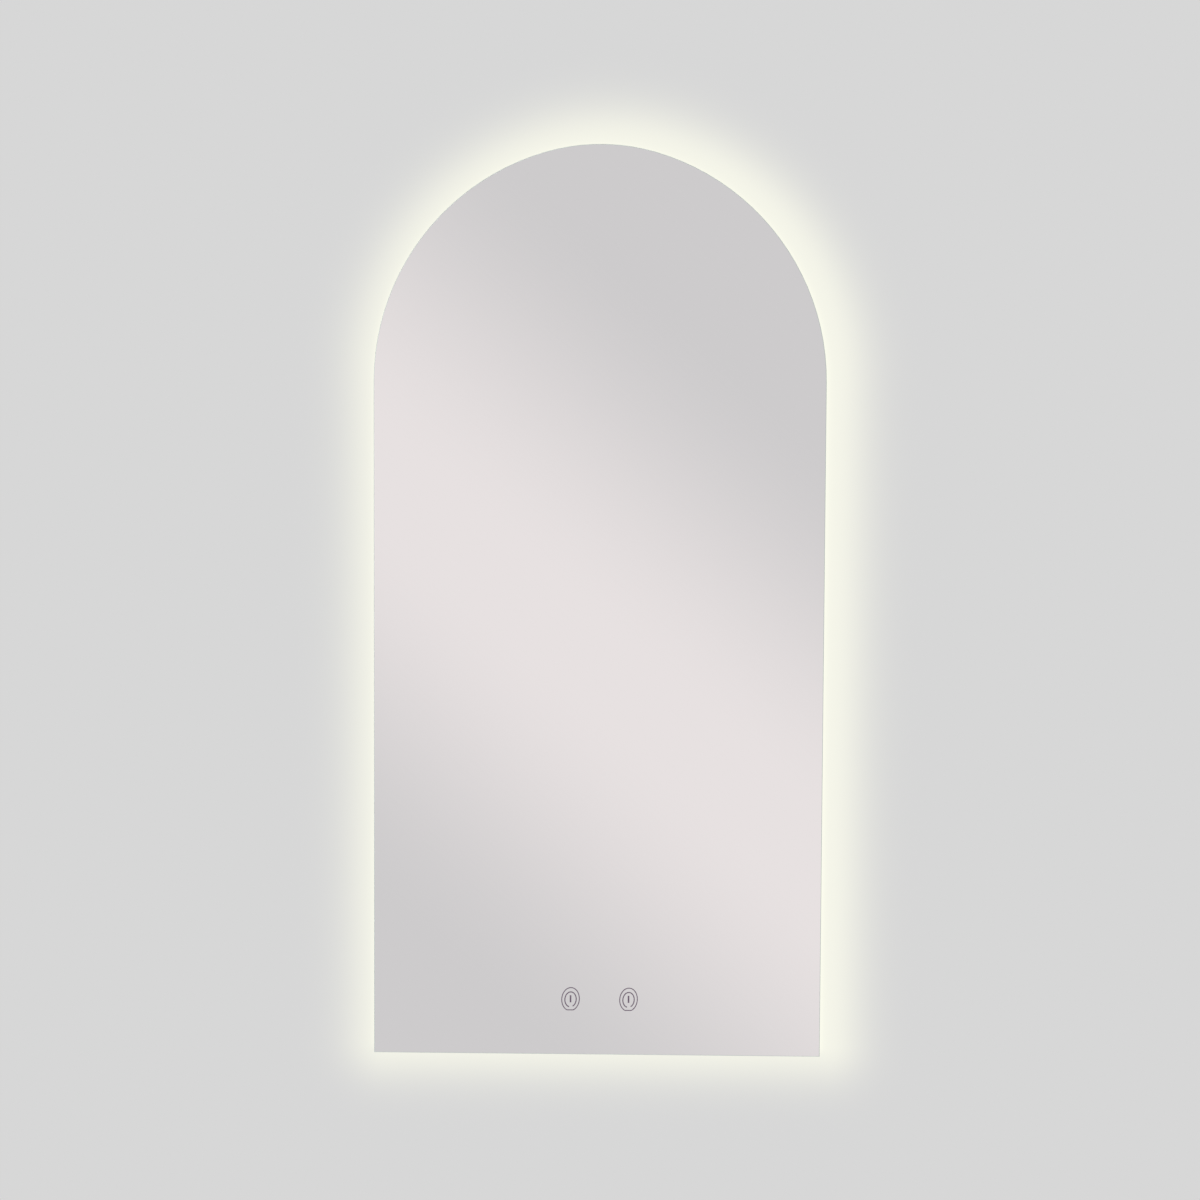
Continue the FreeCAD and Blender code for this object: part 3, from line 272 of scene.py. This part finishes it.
MIRROR_SHARE = 0.92  # how much of the light the silver gives back
FACE_SHARE = 0.98  # a normal with more than this along the depth is on the glass's face or back
THREAD_PITCH = 5 * MM  # of the scrim in the safety film
THREAD_DRIFT = 3 * MM
THREAD_CREST = 0.75  # a thread is where its wave stands higher than this
THREAD_TONE = 0.40
CREASE_HEIGHT = 6.0  # in heights of a thread
DIE_LINE = 1 / 2600  # width of the extrusion's die lines, in metres
DIE_LINE_SHARE = 0.6  # of the metal's drift in tone
WARM_TINT = (0.45, 0.95)  # levels of noise from which and to which the zinc turns warm
PAINT_ROUGHNESS = 0.55
MOULD_PLAY = 0.07  # how far a moulding's roughness drifts either way
CHIP_PITCH = 50 * MM / 3
CHIP_LIGHT = 0.35
DIFFUSER_LIGHT = 0.66
SPOT_LIGHT = (0.94, 1.03)  # the diffuser's light between two chips and over one
PATCH_LIGHT = (0.98, 1.02)
STRIPE_EDGE = (0.52, 0.60)  # sideways share of the normal where the green stripe begins


def silvered_glass():
    """Mirror coating seen through the face, pale green polished edges and grey paint behind."""
    glass = Surface("silvered_glass", ior=1.52)
    _, toward, _ = glass.facing()
    face = glass.math("LESS_THAN", toward, -FACE_SHARE)
    back = glass.math("GREATER_THAN", toward, FACE_SHARE)
    paint_tone = glass.spread(glass.noise(30 * MM, detail=4), 0.0, 1.0)
    paint = glass.mix(paint_tone, colour(0.47, 0.49, 0.50), colour(0.53, 0.55, 0.56))
    draw_lines = glass.noise(1.5 * MM, detail=3)
    _, depth, _ = glass.split(glass.place())
    middle = (glass_face + glass_back) / 2
    from_middle = glass.math("ABSOLUTE", glass.math("SUBTRACT", depth, middle))
    core = glass.span(from_middle, 0.0, (glass_back - glass_face) / 2)
    pale = glass.mix(draw_lines, colour(0.68, 0.78, 0.73), colour(0.76, 0.84, 0.80))
    edge = glass.mix(core, colour(0.50, 0.66, 0.59), pale)
    behind = glass.mix(back, edge, paint)
    rough = glass.choose(back, glass.spread(draw_lines, 0.08, 0.16), PAINT_ROUGHNESS)
    return glass.set(
        base_color=glass.mix(face, behind, colour(MIRROR_SHARE, MIRROR_SHARE, MIRROR_SHARE)),
        metallic=face,
        roughness=glass.math("MULTIPLY", rough, glass.math("SUBTRACT", 1.0, face)),
    ).material


def backing_film():
    """Pale safety film with a woven scrim, and a few long creases from laying it on."""
    film = Surface("backing_film", specular=0.4)
    x, _, z = film.split(film.place())

    def threads(across, drift):
        uneven = film.math("MULTIPLY_ADD", drift, THREAD_DRIFT, across)
        wave = film.math("SINE", film.math("MULTIPLY", uneven, 2 * math.pi / THREAD_PITCH))
        return film.span(wave, THREAD_CREST, 1.0)

    upright = threads(x, film.noise(50 * MM))
    level = threads(z, film.noise(70 * MM))
    weave = film.math("MAXIMUM", upright, level)
    blotch = film.noise(120 * MM, detail=3)
    ground = film.mix(blotch, colour(0.50, 0.54, 0.57), colour(0.58, 0.61, 0.64))
    body = film.mix(film.math("MULTIPLY", weave, THREAD_TONE), ground, colour(0.74, 0.76, 0.78))
    crease = film.noise(50 * MM, detail=1, stretch=(0.25, 1, 1))
    height = film.math("MULTIPLY_ADD", crease, CREASE_HEIGHT, weave)
    return film.set(
        base_color=body,
        roughness=film.spread(blotch, 0.42, 0.58),
        normal=film.bump(height, 0.15 * MM),
    ).material


def frame_aluminium():
    """Satin anodised extrusion, with fine die lines that follow the outline."""
    metal = Surface("frame_aluminium", metallic=1.0)
    inset = outline_space(metal)["Inset"]
    _, off_wall, _ = metal.split(metal.place())
    section = metal.add("CombineXYZ", inset, off_wall, 0.0).outputs[0]
    lines = metal.noise(DIE_LINE, detail=3, place=section)
    tone = metal.math("MULTIPLY", metal.noise(60 * MM, detail=4), 1 - DIE_LINE_SHARE)
    mixed = metal.math("MULTIPLY_ADD", lines, DIE_LINE_SHARE, tone)
    return metal.set(
        base_color=metal.mix(mixed, colour(0.56, 0.57, 0.58), colour(0.78, 0.79, 0.80)),
        roughness=metal.spread(mixed, 0.26, 0.42),
        normal=metal.bump(lines, 0.02 * MM),
    ).material


def zinc_steel():
    """Zinc-plated sheet, with a faint grain of crystals and a slightly uneven tint."""
    zinc = Surface("zinc_steel", metallic=1.0)
    crystal = zinc.add("SeparateColor", zinc.cells(7 * MM)).outputs[0]
    tint = zinc.noise(90 * MM, detail=4)
    plain = zinc.mix(crystal, colour(0.54, 0.56, 0.58), colour(0.71, 0.72, 0.73))
    warm = zinc.mix(zinc.span(tint, *WARM_TINT), plain, colour(0.70, 0.68, 0.63))
    scuffs = zinc.noise(0.6 * MM, detail=3, stretch=(0.04, 1, 1))
    return zinc.set(
        base_color=warm,
        roughness=zinc.span(crystal, 0.0, 1.0, 0.30, 0.50),
        normal=zinc.bump(scuffs, 0.03 * MM),
    ).material


def plated_metal(name, dark, pale):
    """Small turned or pressed part with a worn plating."""
    metal = Surface(name, metallic=1.0)
    wear = metal.noise(1.5 * MM, detail=4)
    return metal.set(
        base_color=metal.mix(wear, dark, pale),
        roughness=metal.spread(wear, 0.22, 0.42),
        normal=metal.bump(metal.noise(0.4 * MM, detail=2), 0.01 * MM),
    ).material


def moulded(name, dark, pale, roughness):
    """Moulded plastic or rubber: a fine spark texture and a faint drift in tone."""
    plastic = Surface(name)
    drift = plastic.noise(40 * MM, detail=5, roughness=0.6)
    spark = plastic.noise(0.5 * MM, detail=3)
    return plastic.set(
        base_color=plastic.mix(drift, dark, pale),
        roughness=plastic.spread(spark, roughness - MOULD_PLAY, roughness + MOULD_PLAY),
        normal=plastic.bump(spark, 0.02 * MM),
    ).material


def foam_tape():
    """Closed-cell foam, whose pores show at a cut edge, with painted shade in their hollows."""
    tape = Surface("foam_tape", specular=0.3)
    pores = tape.cells(0.5 * MM, output="Distance")
    return tape.set(
        # Painted shade: the colour darkens toward each pore's middle, where the bump sinks in
        base_color=tape.mix(pores, colour(0.70, 0.70, 0.68), colour(0.90, 0.90, 0.88)),
        roughness=tape.span(pores, 0.0, 1.0, 0.92, 0.78),
        normal=tape.bump(pores, 0.1 * MM),
    ).material


def opal_plastic():
    """Lit diffuser, faintly brighter over each chip of the strip."""
    opal = Surface("opal_plastic")
    run = outline_space(opal)["Run"]
    phase = opal.math("MULTIPLY", run, 2 * math.pi / CHIP_PITCH)
    spots = opal.span(opal.math("COSINE", phase), -1.0, 1.0, *SPOT_LIGHT)
    grain = opal.noise(20 * MM, detail=3)
    level = opal.math("MULTIPLY", spots, opal.span(grain, *NOISE_RANGE, *PATCH_LIGHT))
    frosting = opal.noise(0.4 * MM, detail=3)
    return opal.set(
        base_color=opal.mix(frosting, colour(0.33, 0.33, 0.32), colour(0.35, 0.35, 0.34)),
        roughness=opal.spread(frosting, 0.38, 0.52),
        normal=opal.bump(frosting, 0.02 * MM),
        emission_color=opal.mix(grain, colour(1.0, 0.97, 0.80), colour(1.0, 0.98, 0.84)),
        emission_strength=opal.math("MULTIPLY", level, DIFFUSER_LIGHT),
    ).material


def lit_chip():
    """Lit yellow phosphor of the chips, with the grain of the cast resin."""
    chip = Surface("led_phosphor", emission_strength=CHIP_LIGHT)
    grain = chip.noise(0.5 * MM, detail=2)
    return chip.set(
        base_color=chip.mix(grain, colour(0.62, 0.50, 0.16), colour(0.70, 0.60, 0.26)),
        roughness=chip.spread(grain, 0.24, 0.36),
        normal=chip.bump(grain, 0.01 * MM),
        emission_color=chip.mix(grain, colour(1.0, 0.93, 0.70), colour(1.0, 0.97, 0.82)),
    ).material


def heater_film():
    """Milky polyester laminate, slightly puckered."""
    film = Surface("heater_film", specular=0.55, coat_weight=0.25, coat_roughness=0.2)
    pucker = film.noise(25 * MM, detail=3)
    haze = film.noise(4 * MM, detail=3)
    return film.set(
        base_color=film.mix(haze, colour(0.74, 0.75, 0.76), colour(0.86, 0.87, 0.87)),
        roughness=film.spread(haze, 0.28, 0.42),
        normal=film.bump(pucker, 0.5 * MM),
    ).material


def heater_foil():
    """Etched foil track, gently crinkled under its film."""
    foil = Surface("heater_foil", metallic=1.0)
    crinkle = foil.noise(6 * MM, detail=3)
    return foil.set(
        base_color=foil.mix(crinkle, colour(0.46, 0.46, 0.48), colour(0.56, 0.56, 0.58)),
        roughness=foil.spread(crinkle, 0.36, 0.46),
        normal=foil.bump(crinkle, 0.04 * MM),
    ).material


def wavy_sheath(name):
    """Soft cable sheath with a slight wave and a dull shine, and the wave to colour it by."""
    skin = Surface(name, specular=0.45)
    wave = skin.noise(6 * MM, detail=3)
    skin.set(roughness=skin.spread(wave, 0.38, 0.52), normal=skin.bump(wave, 0.15 * MM))
    return skin, wave


def sheath(name, dark, pale):
    skin, wave = wavy_sheath(name)
    return skin.set(base_color=skin.mix(wave, dark, pale)).material


def earth_sheath():
    """Yellow sheath with a green stripe along each side."""
    skin, wave = wavy_sheath("earth_sheath")
    sideways, _, _ = skin.facing()
    stripe = skin.span(skin.math("ABSOLUTE", sideways), *STRIPE_EDGE)
    green = skin.mix(wave, colour(0.05, 0.28, 0.09), colour(0.08, 0.36, 0.12))
    yellow = skin.mix(wave, colour(0.76, 0.62, 0.06), colour(0.86, 0.72, 0.10))
    return skin.set(base_color=skin.mix(stripe, yellow, green)).material


def touch_print():
    """Grey-mauve ceramic print of the touch marks."""
    ink = Surface("touch_print", specular=0.3)
    fleck = ink.noise(0.8 * MM, detail=3)
    return ink.set(
        base_color=ink.mix(fleck, shown(112, 95, 115), shown(140, 122, 141)),
        roughness=ink.spread(fleck, 0.52, 0.68),
        normal=ink.bump(fleck, 0.01 * MM),
    ).material


# Darker tone, paler tone and roughness
MOULDED = {
    "strip_white": (colour(0.84, 0.84, 0.82), colour(0.92, 0.92, 0.90), 0.5),
    "black_rubber": (colour(0.025, 0.025, 0.03), colour(0.05, 0.05, 0.055), 0.7),
    "grey_rubber": (colour(0.26, 0.27, 0.28), colour(0.34, 0.35, 0.36), 0.7),
    "white_plastic": (colour(0.82, 0.82, 0.81), colour(0.89, 0.89, 0.88), 0.5),
    "supply_plastic": (colour(0.84, 0.84, 0.83), colour(0.91, 0.91, 0.90), 0.5),
    "terminal_plastic": (colour(0.66, 0.67, 0.68), colour(0.76, 0.77, 0.78), 0.5),
    "gland_plastic": (colour(0.50, 0.52, 0.53), colour(0.60, 0.62, 0.63), 0.4),
    "circuit_board": (colour(0.05, 0.22, 0.12), colour(0.08, 0.30, 0.17), 0.35),
}
# Darker tone and paler tone
PLATED = {
    "screw_steel": (colour(0.60, 0.60, 0.58), colour(0.78, 0.78, 0.76)),
    "tinned_copper": (colour(0.66, 0.65, 0.62), colour(0.84, 0.83, 0.81)),
}
SHEATHS = {
    "white_lead": (colour(0.80, 0.80, 0.79), colour(0.88, 0.88, 0.87)),
    "black_lead": (colour(0.03, 0.03, 0.033), colour(0.055, 0.055, 0.06)),
}

materials = {
    "silvered_glass": silvered_glass(),
    "backing_film": backing_film(),
    "frame_aluminium": frame_aluminium(),
    "zinc_steel": zinc_steel(),
    "foam_tape": foam_tape(),
    "opal_plastic": opal_plastic(),
    "led_phosphor": lit_chip(),
    "heater_film": heater_film(),
    "heater_foil": heater_foil(),
    "earth_sheath": earth_sheath(),
}
for make, finishes in ((moulded, MOULDED), (plated_metal, PLATED), (sheath, SHEATHS)):
    for name, finish in finishes.items():
        materials[name] = make(name, *finish)

for part in frame["record"]["subparts"]:
    nodes[part["node"]].material_slots[0].material = materials[part["material_slot"]]

# ------------------------------------------------------------------------------------ softened edges

# How wide the edges are rolled over, and on which pieces
EDGE_WIDTHS = {
    0.25 * MM: ("power_lid",),
    0.3 * MM: (
        "frame_arch",
        "frame_bottom",
        "wall_rail",
        "hanger_bar",
        "lower_cross_bar",
        "gland_cap",
    ),
    0.35 * MM: ("power_box", "wall_bumpers"),
    0.4 * MM: ("touch_housing_left", "touch_housing_right", "cable_clips"),
    0.5 * MM: ("corner_bracket_left", "corner_bracket_right", "gland_body", "heater_terminal"),
}
EDGE_ANGLE = math.radians(58)  # edges that turn by more than this are rolled over
EDGE_SEGMENTS = 2
FLAT_ANGLE = math.radians(0.5)  # faces that turn by less than this are joined
WELD_DISTANCE = 0.01 * MM


def round_edges(piece, width):
    """Rolls a piece's sharp edges over, with its flat faces joined first so that they stay flat."""
    weld = piece.modifiers.new("weld", "WELD")
    weld.merge_threshold = WELD_DISTANCE
    flats = piece.modifiers.new("flats", "DECIMATE")
    flats.decimate_type = "DISSOLVE"
    flats.angle_limit = FLAT_ANGLE
    bevel = piece.modifiers.new("edges", "BEVEL")
    bevel.width = width
    bevel.segments = EDGE_SEGMENTS
    bevel.limit_method = "ANGLE"
    bevel.angle_limit = EDGE_ANGLE
    bevel.use_clamp_overlap = False
    bevel.loop_slide = False
    bevel.harden_normals = True


for width, names in EDGE_WIDTHS.items():
    for name in names:
        round_edges(nodes[name], width)

# -------------------------------------------------------------------------------------- touch marks

# Widths and heights are along the middle of a line
MARK_RING = (19.7 * MM, 26.1 * MM)
MARK_RING_DROP = 0.4 * MM  # from the mark's middle down to the oval's
MARK_RING_FOOT = 12.6 * MM  # the oval is cut flat this far below the mark's middle
MARK_ARC = (12.7 * MM, 16.9 * MM)
MARK_ARC_DROP = 0.7 * MM
MARK_ARC_OPENING = (math.radians(-102), math.radians(-65))  # from its left end to its right end
MARK_LEAN = 0.04  # both ovals lean to the right by this share of their height
MARK_BAR_HEIGHT = 8.0 * MM
MARK_RING_LINE = 1.05 * MM
MARK_ARC_LINE = 1.2 * MM
MARK_BAR_LINE = 1.8 * MM
MARK_PROUD = 0.04 * MM  # the print's front, in front of the glass
MARK_SUNK = 0.2 * MM  # its back, inside the glass
MARK_STEPS = 72
# A line's section has four corners: 0 and 1 at one side, 2 and 3 at the other, the front one first
SECTION_SIDES = ((0, 2), (2, 3), (3, 1), (1, 0))
FIRST_END = (0, 1, 3, 2)
LAST_END = (0, 2, 3, 1)


def oval_points(size, drop, start, turn, count):
    """Points at even angles along a leaning oval."""
    points = []
    for k in range(count):
        angle = start + turn * k / MARK_STEPS
        up = size[1] / 2 * math.sin(angle)
        across = size[0] / 2 * math.cos(angle) + up * MARK_LEAN
        points.append(Vector((across, up - drop)))
    return points


def ribbon(mesh, points, width, closed):
    """Flat line of a given width through the points, as one thin solid on the glass."""
    count = len(points)
    rows = []
    for k, spot in enumerate(points):
        before = points[(k - 1) % count] if closed or k > 0 else spot
        after = points[(k + 1) % count] if closed or k < count - 1 else spot
        along = (after - before).normalized()
        side = Vector((-along.y, along.x)) * width / 2
        corners = [(spot + side, -MARK_PROUD), (spot + side, MARK_SUNK)]
        corners += [(spot - side, -MARK_PROUD), (spot - side, MARK_SUNK)]
        rows.append([mesh.verts.new((place.x, depth, place.y)) for place, depth in corners])
    following = rows[1:] + rows[:1] if closed else rows[1:]
    for near, far in zip(rows, following):
        for a, b in SECTION_SIDES:
            mesh.faces.new((near[a], near[b], far[b], far[a]))
    if not closed:
        mesh.faces.new([rows[0][corner] for corner in FIRST_END])
        mesh.faces.new([rows[-1][corner] for corner in LAST_END])


def touch_mark(name, x, z, print_ink):
    """Oval ring round an arc that is open at its foot, with a short bar in the middle."""
    mesh = bmesh.new()
    full_turn = 2 * math.pi
    ring = oval_points(MARK_RING, MARK_RING_DROP, 0.0, full_turn, MARK_STEPS)
    for spot in ring:
        spot.y = max(spot.y, -MARK_RING_FOOT)
    ribbon(mesh, ring, MARK_RING_LINE, closed=True)
    left_end, right_end = MARK_ARC_OPENING
    arc_turn = left_end + full_turn - right_end
    arc = oval_points(MARK_ARC, MARK_ARC_DROP, right_end, arc_turn, MARK_STEPS + 1)
    ribbon(mesh, arc, MARK_ARC_LINE, closed=False)
    bar_top = Vector((0, MARK_BAR_HEIGHT / 2))
    ribbon(mesh, [bar_top, -bar_top], MARK_BAR_LINE, closed=False)
    bmesh.ops.recalc_face_normals(mesh, faces=mesh.faces)
    data = bpy.data.meshes.new(name)
    mesh.to_mesh(data)
    mesh.free()
    data.transform(Matrix.Translation((x, glass_face, z)))
    mark = bpy.data.objects.new(name, data)
    bpy.context.scene.collection.objects.link(mark)
    data.materials.append(print_ink)
    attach(mark, "mirror")


ink = touch_print()
for side in ("left", "right"):
    low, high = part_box(f"touch_housing_{side}")
    middle = (low + high) / 2
    touch_mark(f"touch_mark_{side}", middle.x, middle.z, ink)

# ------------------------------------------------------------------------------------------- studio

BACKDROP = shown(215, 215, 215)

# Halo on the wall, painted light in the wall's colour: a soft fall-off round the mirror's outline,
# seen a little to the upper right
HALO_SHIFT = Vector((8.3 * MM, 0, 4.4 * MM))
HALO_REACH = 32.4 * MM
HALO_LIGHT = 0.238
HALO_TINT = (1.0, 1.0, 0.59)
# Painted shade behind the frame: the halo's light weakens inside the outline
HALO_INSIDE = (8 * MM, 45 * MM)  # inside the outline the light grows weaker toward the frame
HALO_INSIDE_SHARE = 0.7
# The rim is painted light too
RIM_REACH = 4.9 * MM  # a narrow rim of light along the glass, on top of the halo
RIM_LIGHT = 0.085
WALL_HALF = 5.0
WALL_TOP = 3.0
FLOOR_DROP = 0.55  # from the glass's bottom edge down to the floor
FLOOR_HALF = 40.0
FLOOR_FADE = (0.9, 3.2)  # from the wall's foot outward


def flat_panel(name, corners, material):
    data = bpy.data.meshes.new(name)
    data.from_pydata(corners, [], [range(len(corners))])
    panel = bpy.data.objects.new(name, data)
    bpy.context.scene.collection.objects.link(panel)
    data.materials.append(material)
    return panel


def wall_with_painted_halo():
    """Plain wall with the halo painted into its colour as light. It shows only from the front, so
    that the back can be seen too.
    """
    material = bpy.data.materials.new("wall_with_painted_halo")
    material.use_nodes = True
    paint = Nodes(material.node_tree)
    paint.tree.nodes.clear()
    carried = paint.add("TexCoord", object=frame["bodies"]["mirror"]).outputs["Object"]
    shifted = paint.vector_math("SUBTRACT", carried, HALO_SHIFT)

    def away(place):
        """Distance outside the outline, round the bottom corners too."""
        insets = outline_space(paint, place)
        side_inset, bottom_inset = insets["Side Inset"], insets["Bottom Inset"]
        out_side = paint.math("MAXIMUM", paint.math("MULTIPLY", side_inset, -1.0), 0.0)
        out_bottom = paint.math("MAXIMUM", paint.math("MULTIPLY", bottom_inset, -1.0), 0.0)
        bottom_square = paint.math("MULTIPLY", out_bottom, out_bottom)
        return paint.math("SQRT", paint.math("MULTIPLY_ADD", out_side, out_side, bottom_square))

    def fall_off(distance, reach, light):
        """Painted light that fades with distance along a bell curve."""
        share = paint.math("DIVIDE", distance, reach)
        power = paint.math("MULTIPLY", paint.math("MULTIPLY", share, share), -0.5)
        return paint.math("MULTIPLY", paint.math("EXPONENT", power), light)

    glow = paint.math(
        "ADD",
        fall_off(away(shifted), HALO_REACH, HALO_LIGHT),
        fall_off(away(carried), RIM_REACH, RIM_LIGHT),
    )
    inset = outline_space(paint, carried)["Inset"]
    reached = paint.span(inset, *HALO_INSIDE, 1.0, HALO_INSIDE_SHARE)
    lit = paint.add("VectorMath", HALO_TINT, operation="SCALE")
    paint.fill(lit.inputs["Scale"], paint.math("MULTIPLY", glow, reached))
    shade = paint.vector_math("ADD", BACKDROP[:3], lit.outputs[0])
    seen = paint.add("Emission", shade).outputs[0]
    behind = paint.add("NewGeometry").outputs["Backfacing"]
    clear = paint.add("BsdfTransparent").outputs[0]
    result = paint.add("OutputMaterial")
    paint.fill(result.inputs["Surface"], paint.add("MixShader", behind, seen, clear).outputs[0])
    return material


def floor_paint():
    """Pale floor round the mirror, which takes its shadow and fades into the backdrop."""
    paint = Surface("floor_paint", base_color=colour(0.88, 0.88, 0.88), roughness=0.8, specular=0.2)
    across = paint.vector_math("MULTIPLY", paint.place(), (1, 1, 0))
    distance = paint.vector_math("LENGTH", across, output="Value")
    far = paint.add("Emission", BACKDROP).outputs[0]
    faded = paint.add("MixShader", paint.span(distance, *FLOOR_FADE), paint.shader.outputs[0], far)
    paint.fill(paint.tree.nodes["Material Output"].inputs["Surface"], faded.outputs[0])
    return paint.material


floor_z = glass_bottom - FLOOR_DROP
wall = flat_panel(
    "wall",
    [
        (-WALL_HALF, 0, floor_z),
        (WALL_HALF, 0, floor_z),
        (WALL_HALF, 0, WALL_TOP),
        (-WALL_HALF, 0, WALL_TOP),
    ],
    wall_with_painted_halo(),
)
# The painted light is for the eye alone and doesn't light or shade anything else
wall.visible_diffuse = False
wall.visible_glossy = False
wall.visible_transmission = False
wall.visible_shadow = False

floor = flat_panel(
    "floor",
    [
        (-FLOOR_HALF, -FLOOR_HALF, floor_z),
        (FLOOR_HALF, -FLOOR_HALF, floor_z),
        (FLOOR_HALF, FLOOR_HALF, floor_z),
        (-FLOOR_HALF, FLOOR_HALF, floor_z),
    ],
    floor_paint(),
)
floor.visible_glossy = False  # the silver reflects the studio's bands alone

# Soft bands of studio light by the direction of each ray: what the silver reflects
BAND_AXIS = Vector((0.656, 0, 0.755)).normalized()
BAND_CENTRE = -0.0785
BAND_PITCH = 0.56
BAND_PLATEAU = 0.012  # from a band's middle to where it begins to fade
BAND_HALF = 0.143  # from its middle to where it ends
BAND_PALE = shown(231, 225, 225)
BAND_DARK = shown(205, 203, 204)
STREAKS = 160.0  # fine streaks across a whole unit of direction
STREAK_LIFT = 0.05

# The room on the wall's side, which only the metal at the back reflects: paler upward, with softboxes
ROOM_HEIGHT = (-0.7, 0.8)
ROOM_TONES = (0.42, 0.86)
PANEL_SHIFT = 0.10
PANEL_PITCH = 0.9
PANEL_EDGE = (0.16, 0.24)  # from the middle of a gap, to where a softbox begins and is full
PANEL_SHARE = 0.5
PANEL_TONE = colour(1.08, 1.08, 1.10)
ROOM_EDGE = (-0.02, 0.12)  # where the room takes over from the bands

AMBIENT = 0.42  # even light on everything that isn't glossy


def silver_tone(tone):
    """What the silver has to reflect to show a tone."""
    return colour(*(level / MIRROR_SHARE for level in tone[:3]))


def band_light(sky, along):
    """Pale slanted bands with fine streaks along them."""
    from_band = sky.math("PINGPONG", sky.math("SUBTRACT", along, BAND_CENTRE), BAND_PITCH / 2)
    share = sky.span(from_band, BAND_HALF, BAND_PLATEAU)
    streaks = sky.add("TexNoise", noise_dimensions="1D")
    sky.fill(streaks.inputs["W"], sky.math("MULTIPLY", along, STREAKS))
    streak = sky.math("SUBTRACT", streaks.outputs["Fac"], 0.5)
    lifted = sky.math("MULTIPLY_ADD", streak, STREAK_LIFT, share)
    return sky.mix(lifted, silver_tone(BAND_DARK), silver_tone(BAND_PALE))


def room_light(sky, along, upward):
    """Tone that grows paler upward, with softboxes at even gaps."""
    from_gap = sky.math("PINGPONG", sky.math("ADD", along, PANEL_SHIFT), PANEL_PITCH / 2)
    panels = sky.math("MULTIPLY", sky.span(from_gap, *PANEL_EDGE), PANEL_SHARE)
    return sky.mix(panels, sky.span(upward, *ROOM_HEIGHT, *ROOM_TONES), PANEL_TONE)


def studio_world():
    world = bpy.data.worlds.new("studio")
    bpy.context.scene.world = world
    world.use_nodes = True
    sky = Nodes(world.node_tree)
    sky.tree.nodes.clear()
    direction = sky.add("TexCoord").outputs["Generated"]
    _, toward_wall, upward = sky.split(direction)
    along = sky.vector_math("DOT_PRODUCT", direction, BAND_AXIS, output="Value")
    in_room = sky.span(toward_wall, *ROOM_EDGE)
    reflected = sky.mix(in_room, band_light(sky, along), room_light(sky, along, upward))
    rays = sky.add("LightPath").outputs
    open_view = sky.math("MAXIMUM", rays["Is Camera Ray"], rays["Is Transmission Ray"])
    around = sky.mix(open_view, colour(AMBIENT, AMBIENT, AMBIENT), BACKDROP)
    seen = sky.mix(rays["Is Glossy Ray"], around, reflected)
    background = sky.add("Background", seen).outputs[0]
    sky.fill(sky.add("OutputWorld").inputs["Surface"], background)


studio_world()


def softbox(name, place, size, power):
    """Square lamp that looks at the mirror's middle and stays out of its reflections."""
    data = bpy.data.lights.new(name, "AREA")
    data.size = size
    data.energy = power
    lamp = bpy.data.objects.new(name, data)
    bpy.context.scene.collection.objects.link(lamp)
    lamp.location = place
    middle = Vector((0, glass_face, (glass_bottom + glass_top) / 2))
    lamp.rotation_euler = (middle - Vector(place)).to_track_quat("-Z", "Y").to_euler()
    lamp.visible_glossy = False


softbox("key_front", place=(-2.0, -2.6, 1.6), size=2.0, power=38)
softbox("key_back", place=(1.9, 2.4, 1.8), size=1.6, power=52)
softbox("fill_back", place=(-2.6, 1.6, 0.2), size=1.6, power=10)

# ------------------------------------------------------------------------------------------- camera

# Where the photograph was taken from, worked out from the mirror's corners and arch in it
PHOTO_SIZE = 1200  # pixels
FOCAL_PIXELS = 2257.7
SENSOR_WIDTH = 36  # mm
CAMERA_OUT = 2.5  # from the glass face
CAMERA_X = 0.0533
CAMERA_UP = 0.6535  # above the glass's bottom edge
CAMERA_PITCH = math.radians(3.264)
CAMERA_YAW = math.radians(1.187)
CAMERA_ROLL = math.radians(0.286)


def photo_camera():
    level_right = Vector((math.cos(CAMERA_YAW), math.sin(CAMERA_YAW), 0))
    level_ahead = Vector((-math.sin(CAMERA_YAW), math.cos(CAMERA_YAW), 0))
    up_axis = Vector((0, 0, 1))
    ahead = level_ahead * math.cos(CAMERA_PITCH) - up_axis * math.sin(CAMERA_PITCH)
    tilted_up = level_ahead * math.sin(CAMERA_PITCH) + up_axis * math.cos(CAMERA_PITCH)
    right = level_right * math.cos(CAMERA_ROLL) + tilted_up * math.sin(CAMERA_ROLL)
    up = tilted_up * math.cos(CAMERA_ROLL) - level_right * math.sin(CAMERA_ROLL)
    data = bpy.data.cameras.new("photo_camera")
    data.sensor_width = SENSOR_WIDTH
    data.lens = FOCAL_PIXELS / PHOTO_SIZE * SENSOR_WIDTH
    camera = bpy.data.objects.new("photo_camera", data)
    bpy.context.scene.collection.objects.link(camera)
    turn = Matrix((right, up, -ahead)).transposed().to_4x4()
    place = Vector((CAMERA_X, glass_face - CAMERA_OUT, glass_bottom + CAMERA_UP))
    camera.matrix_world = Matrix.Translation(place) @ turn
    return camera


bpy.context.scene.camera = photo_camera()
bpy.context.scene.view_settings.view_transform = "Standard"
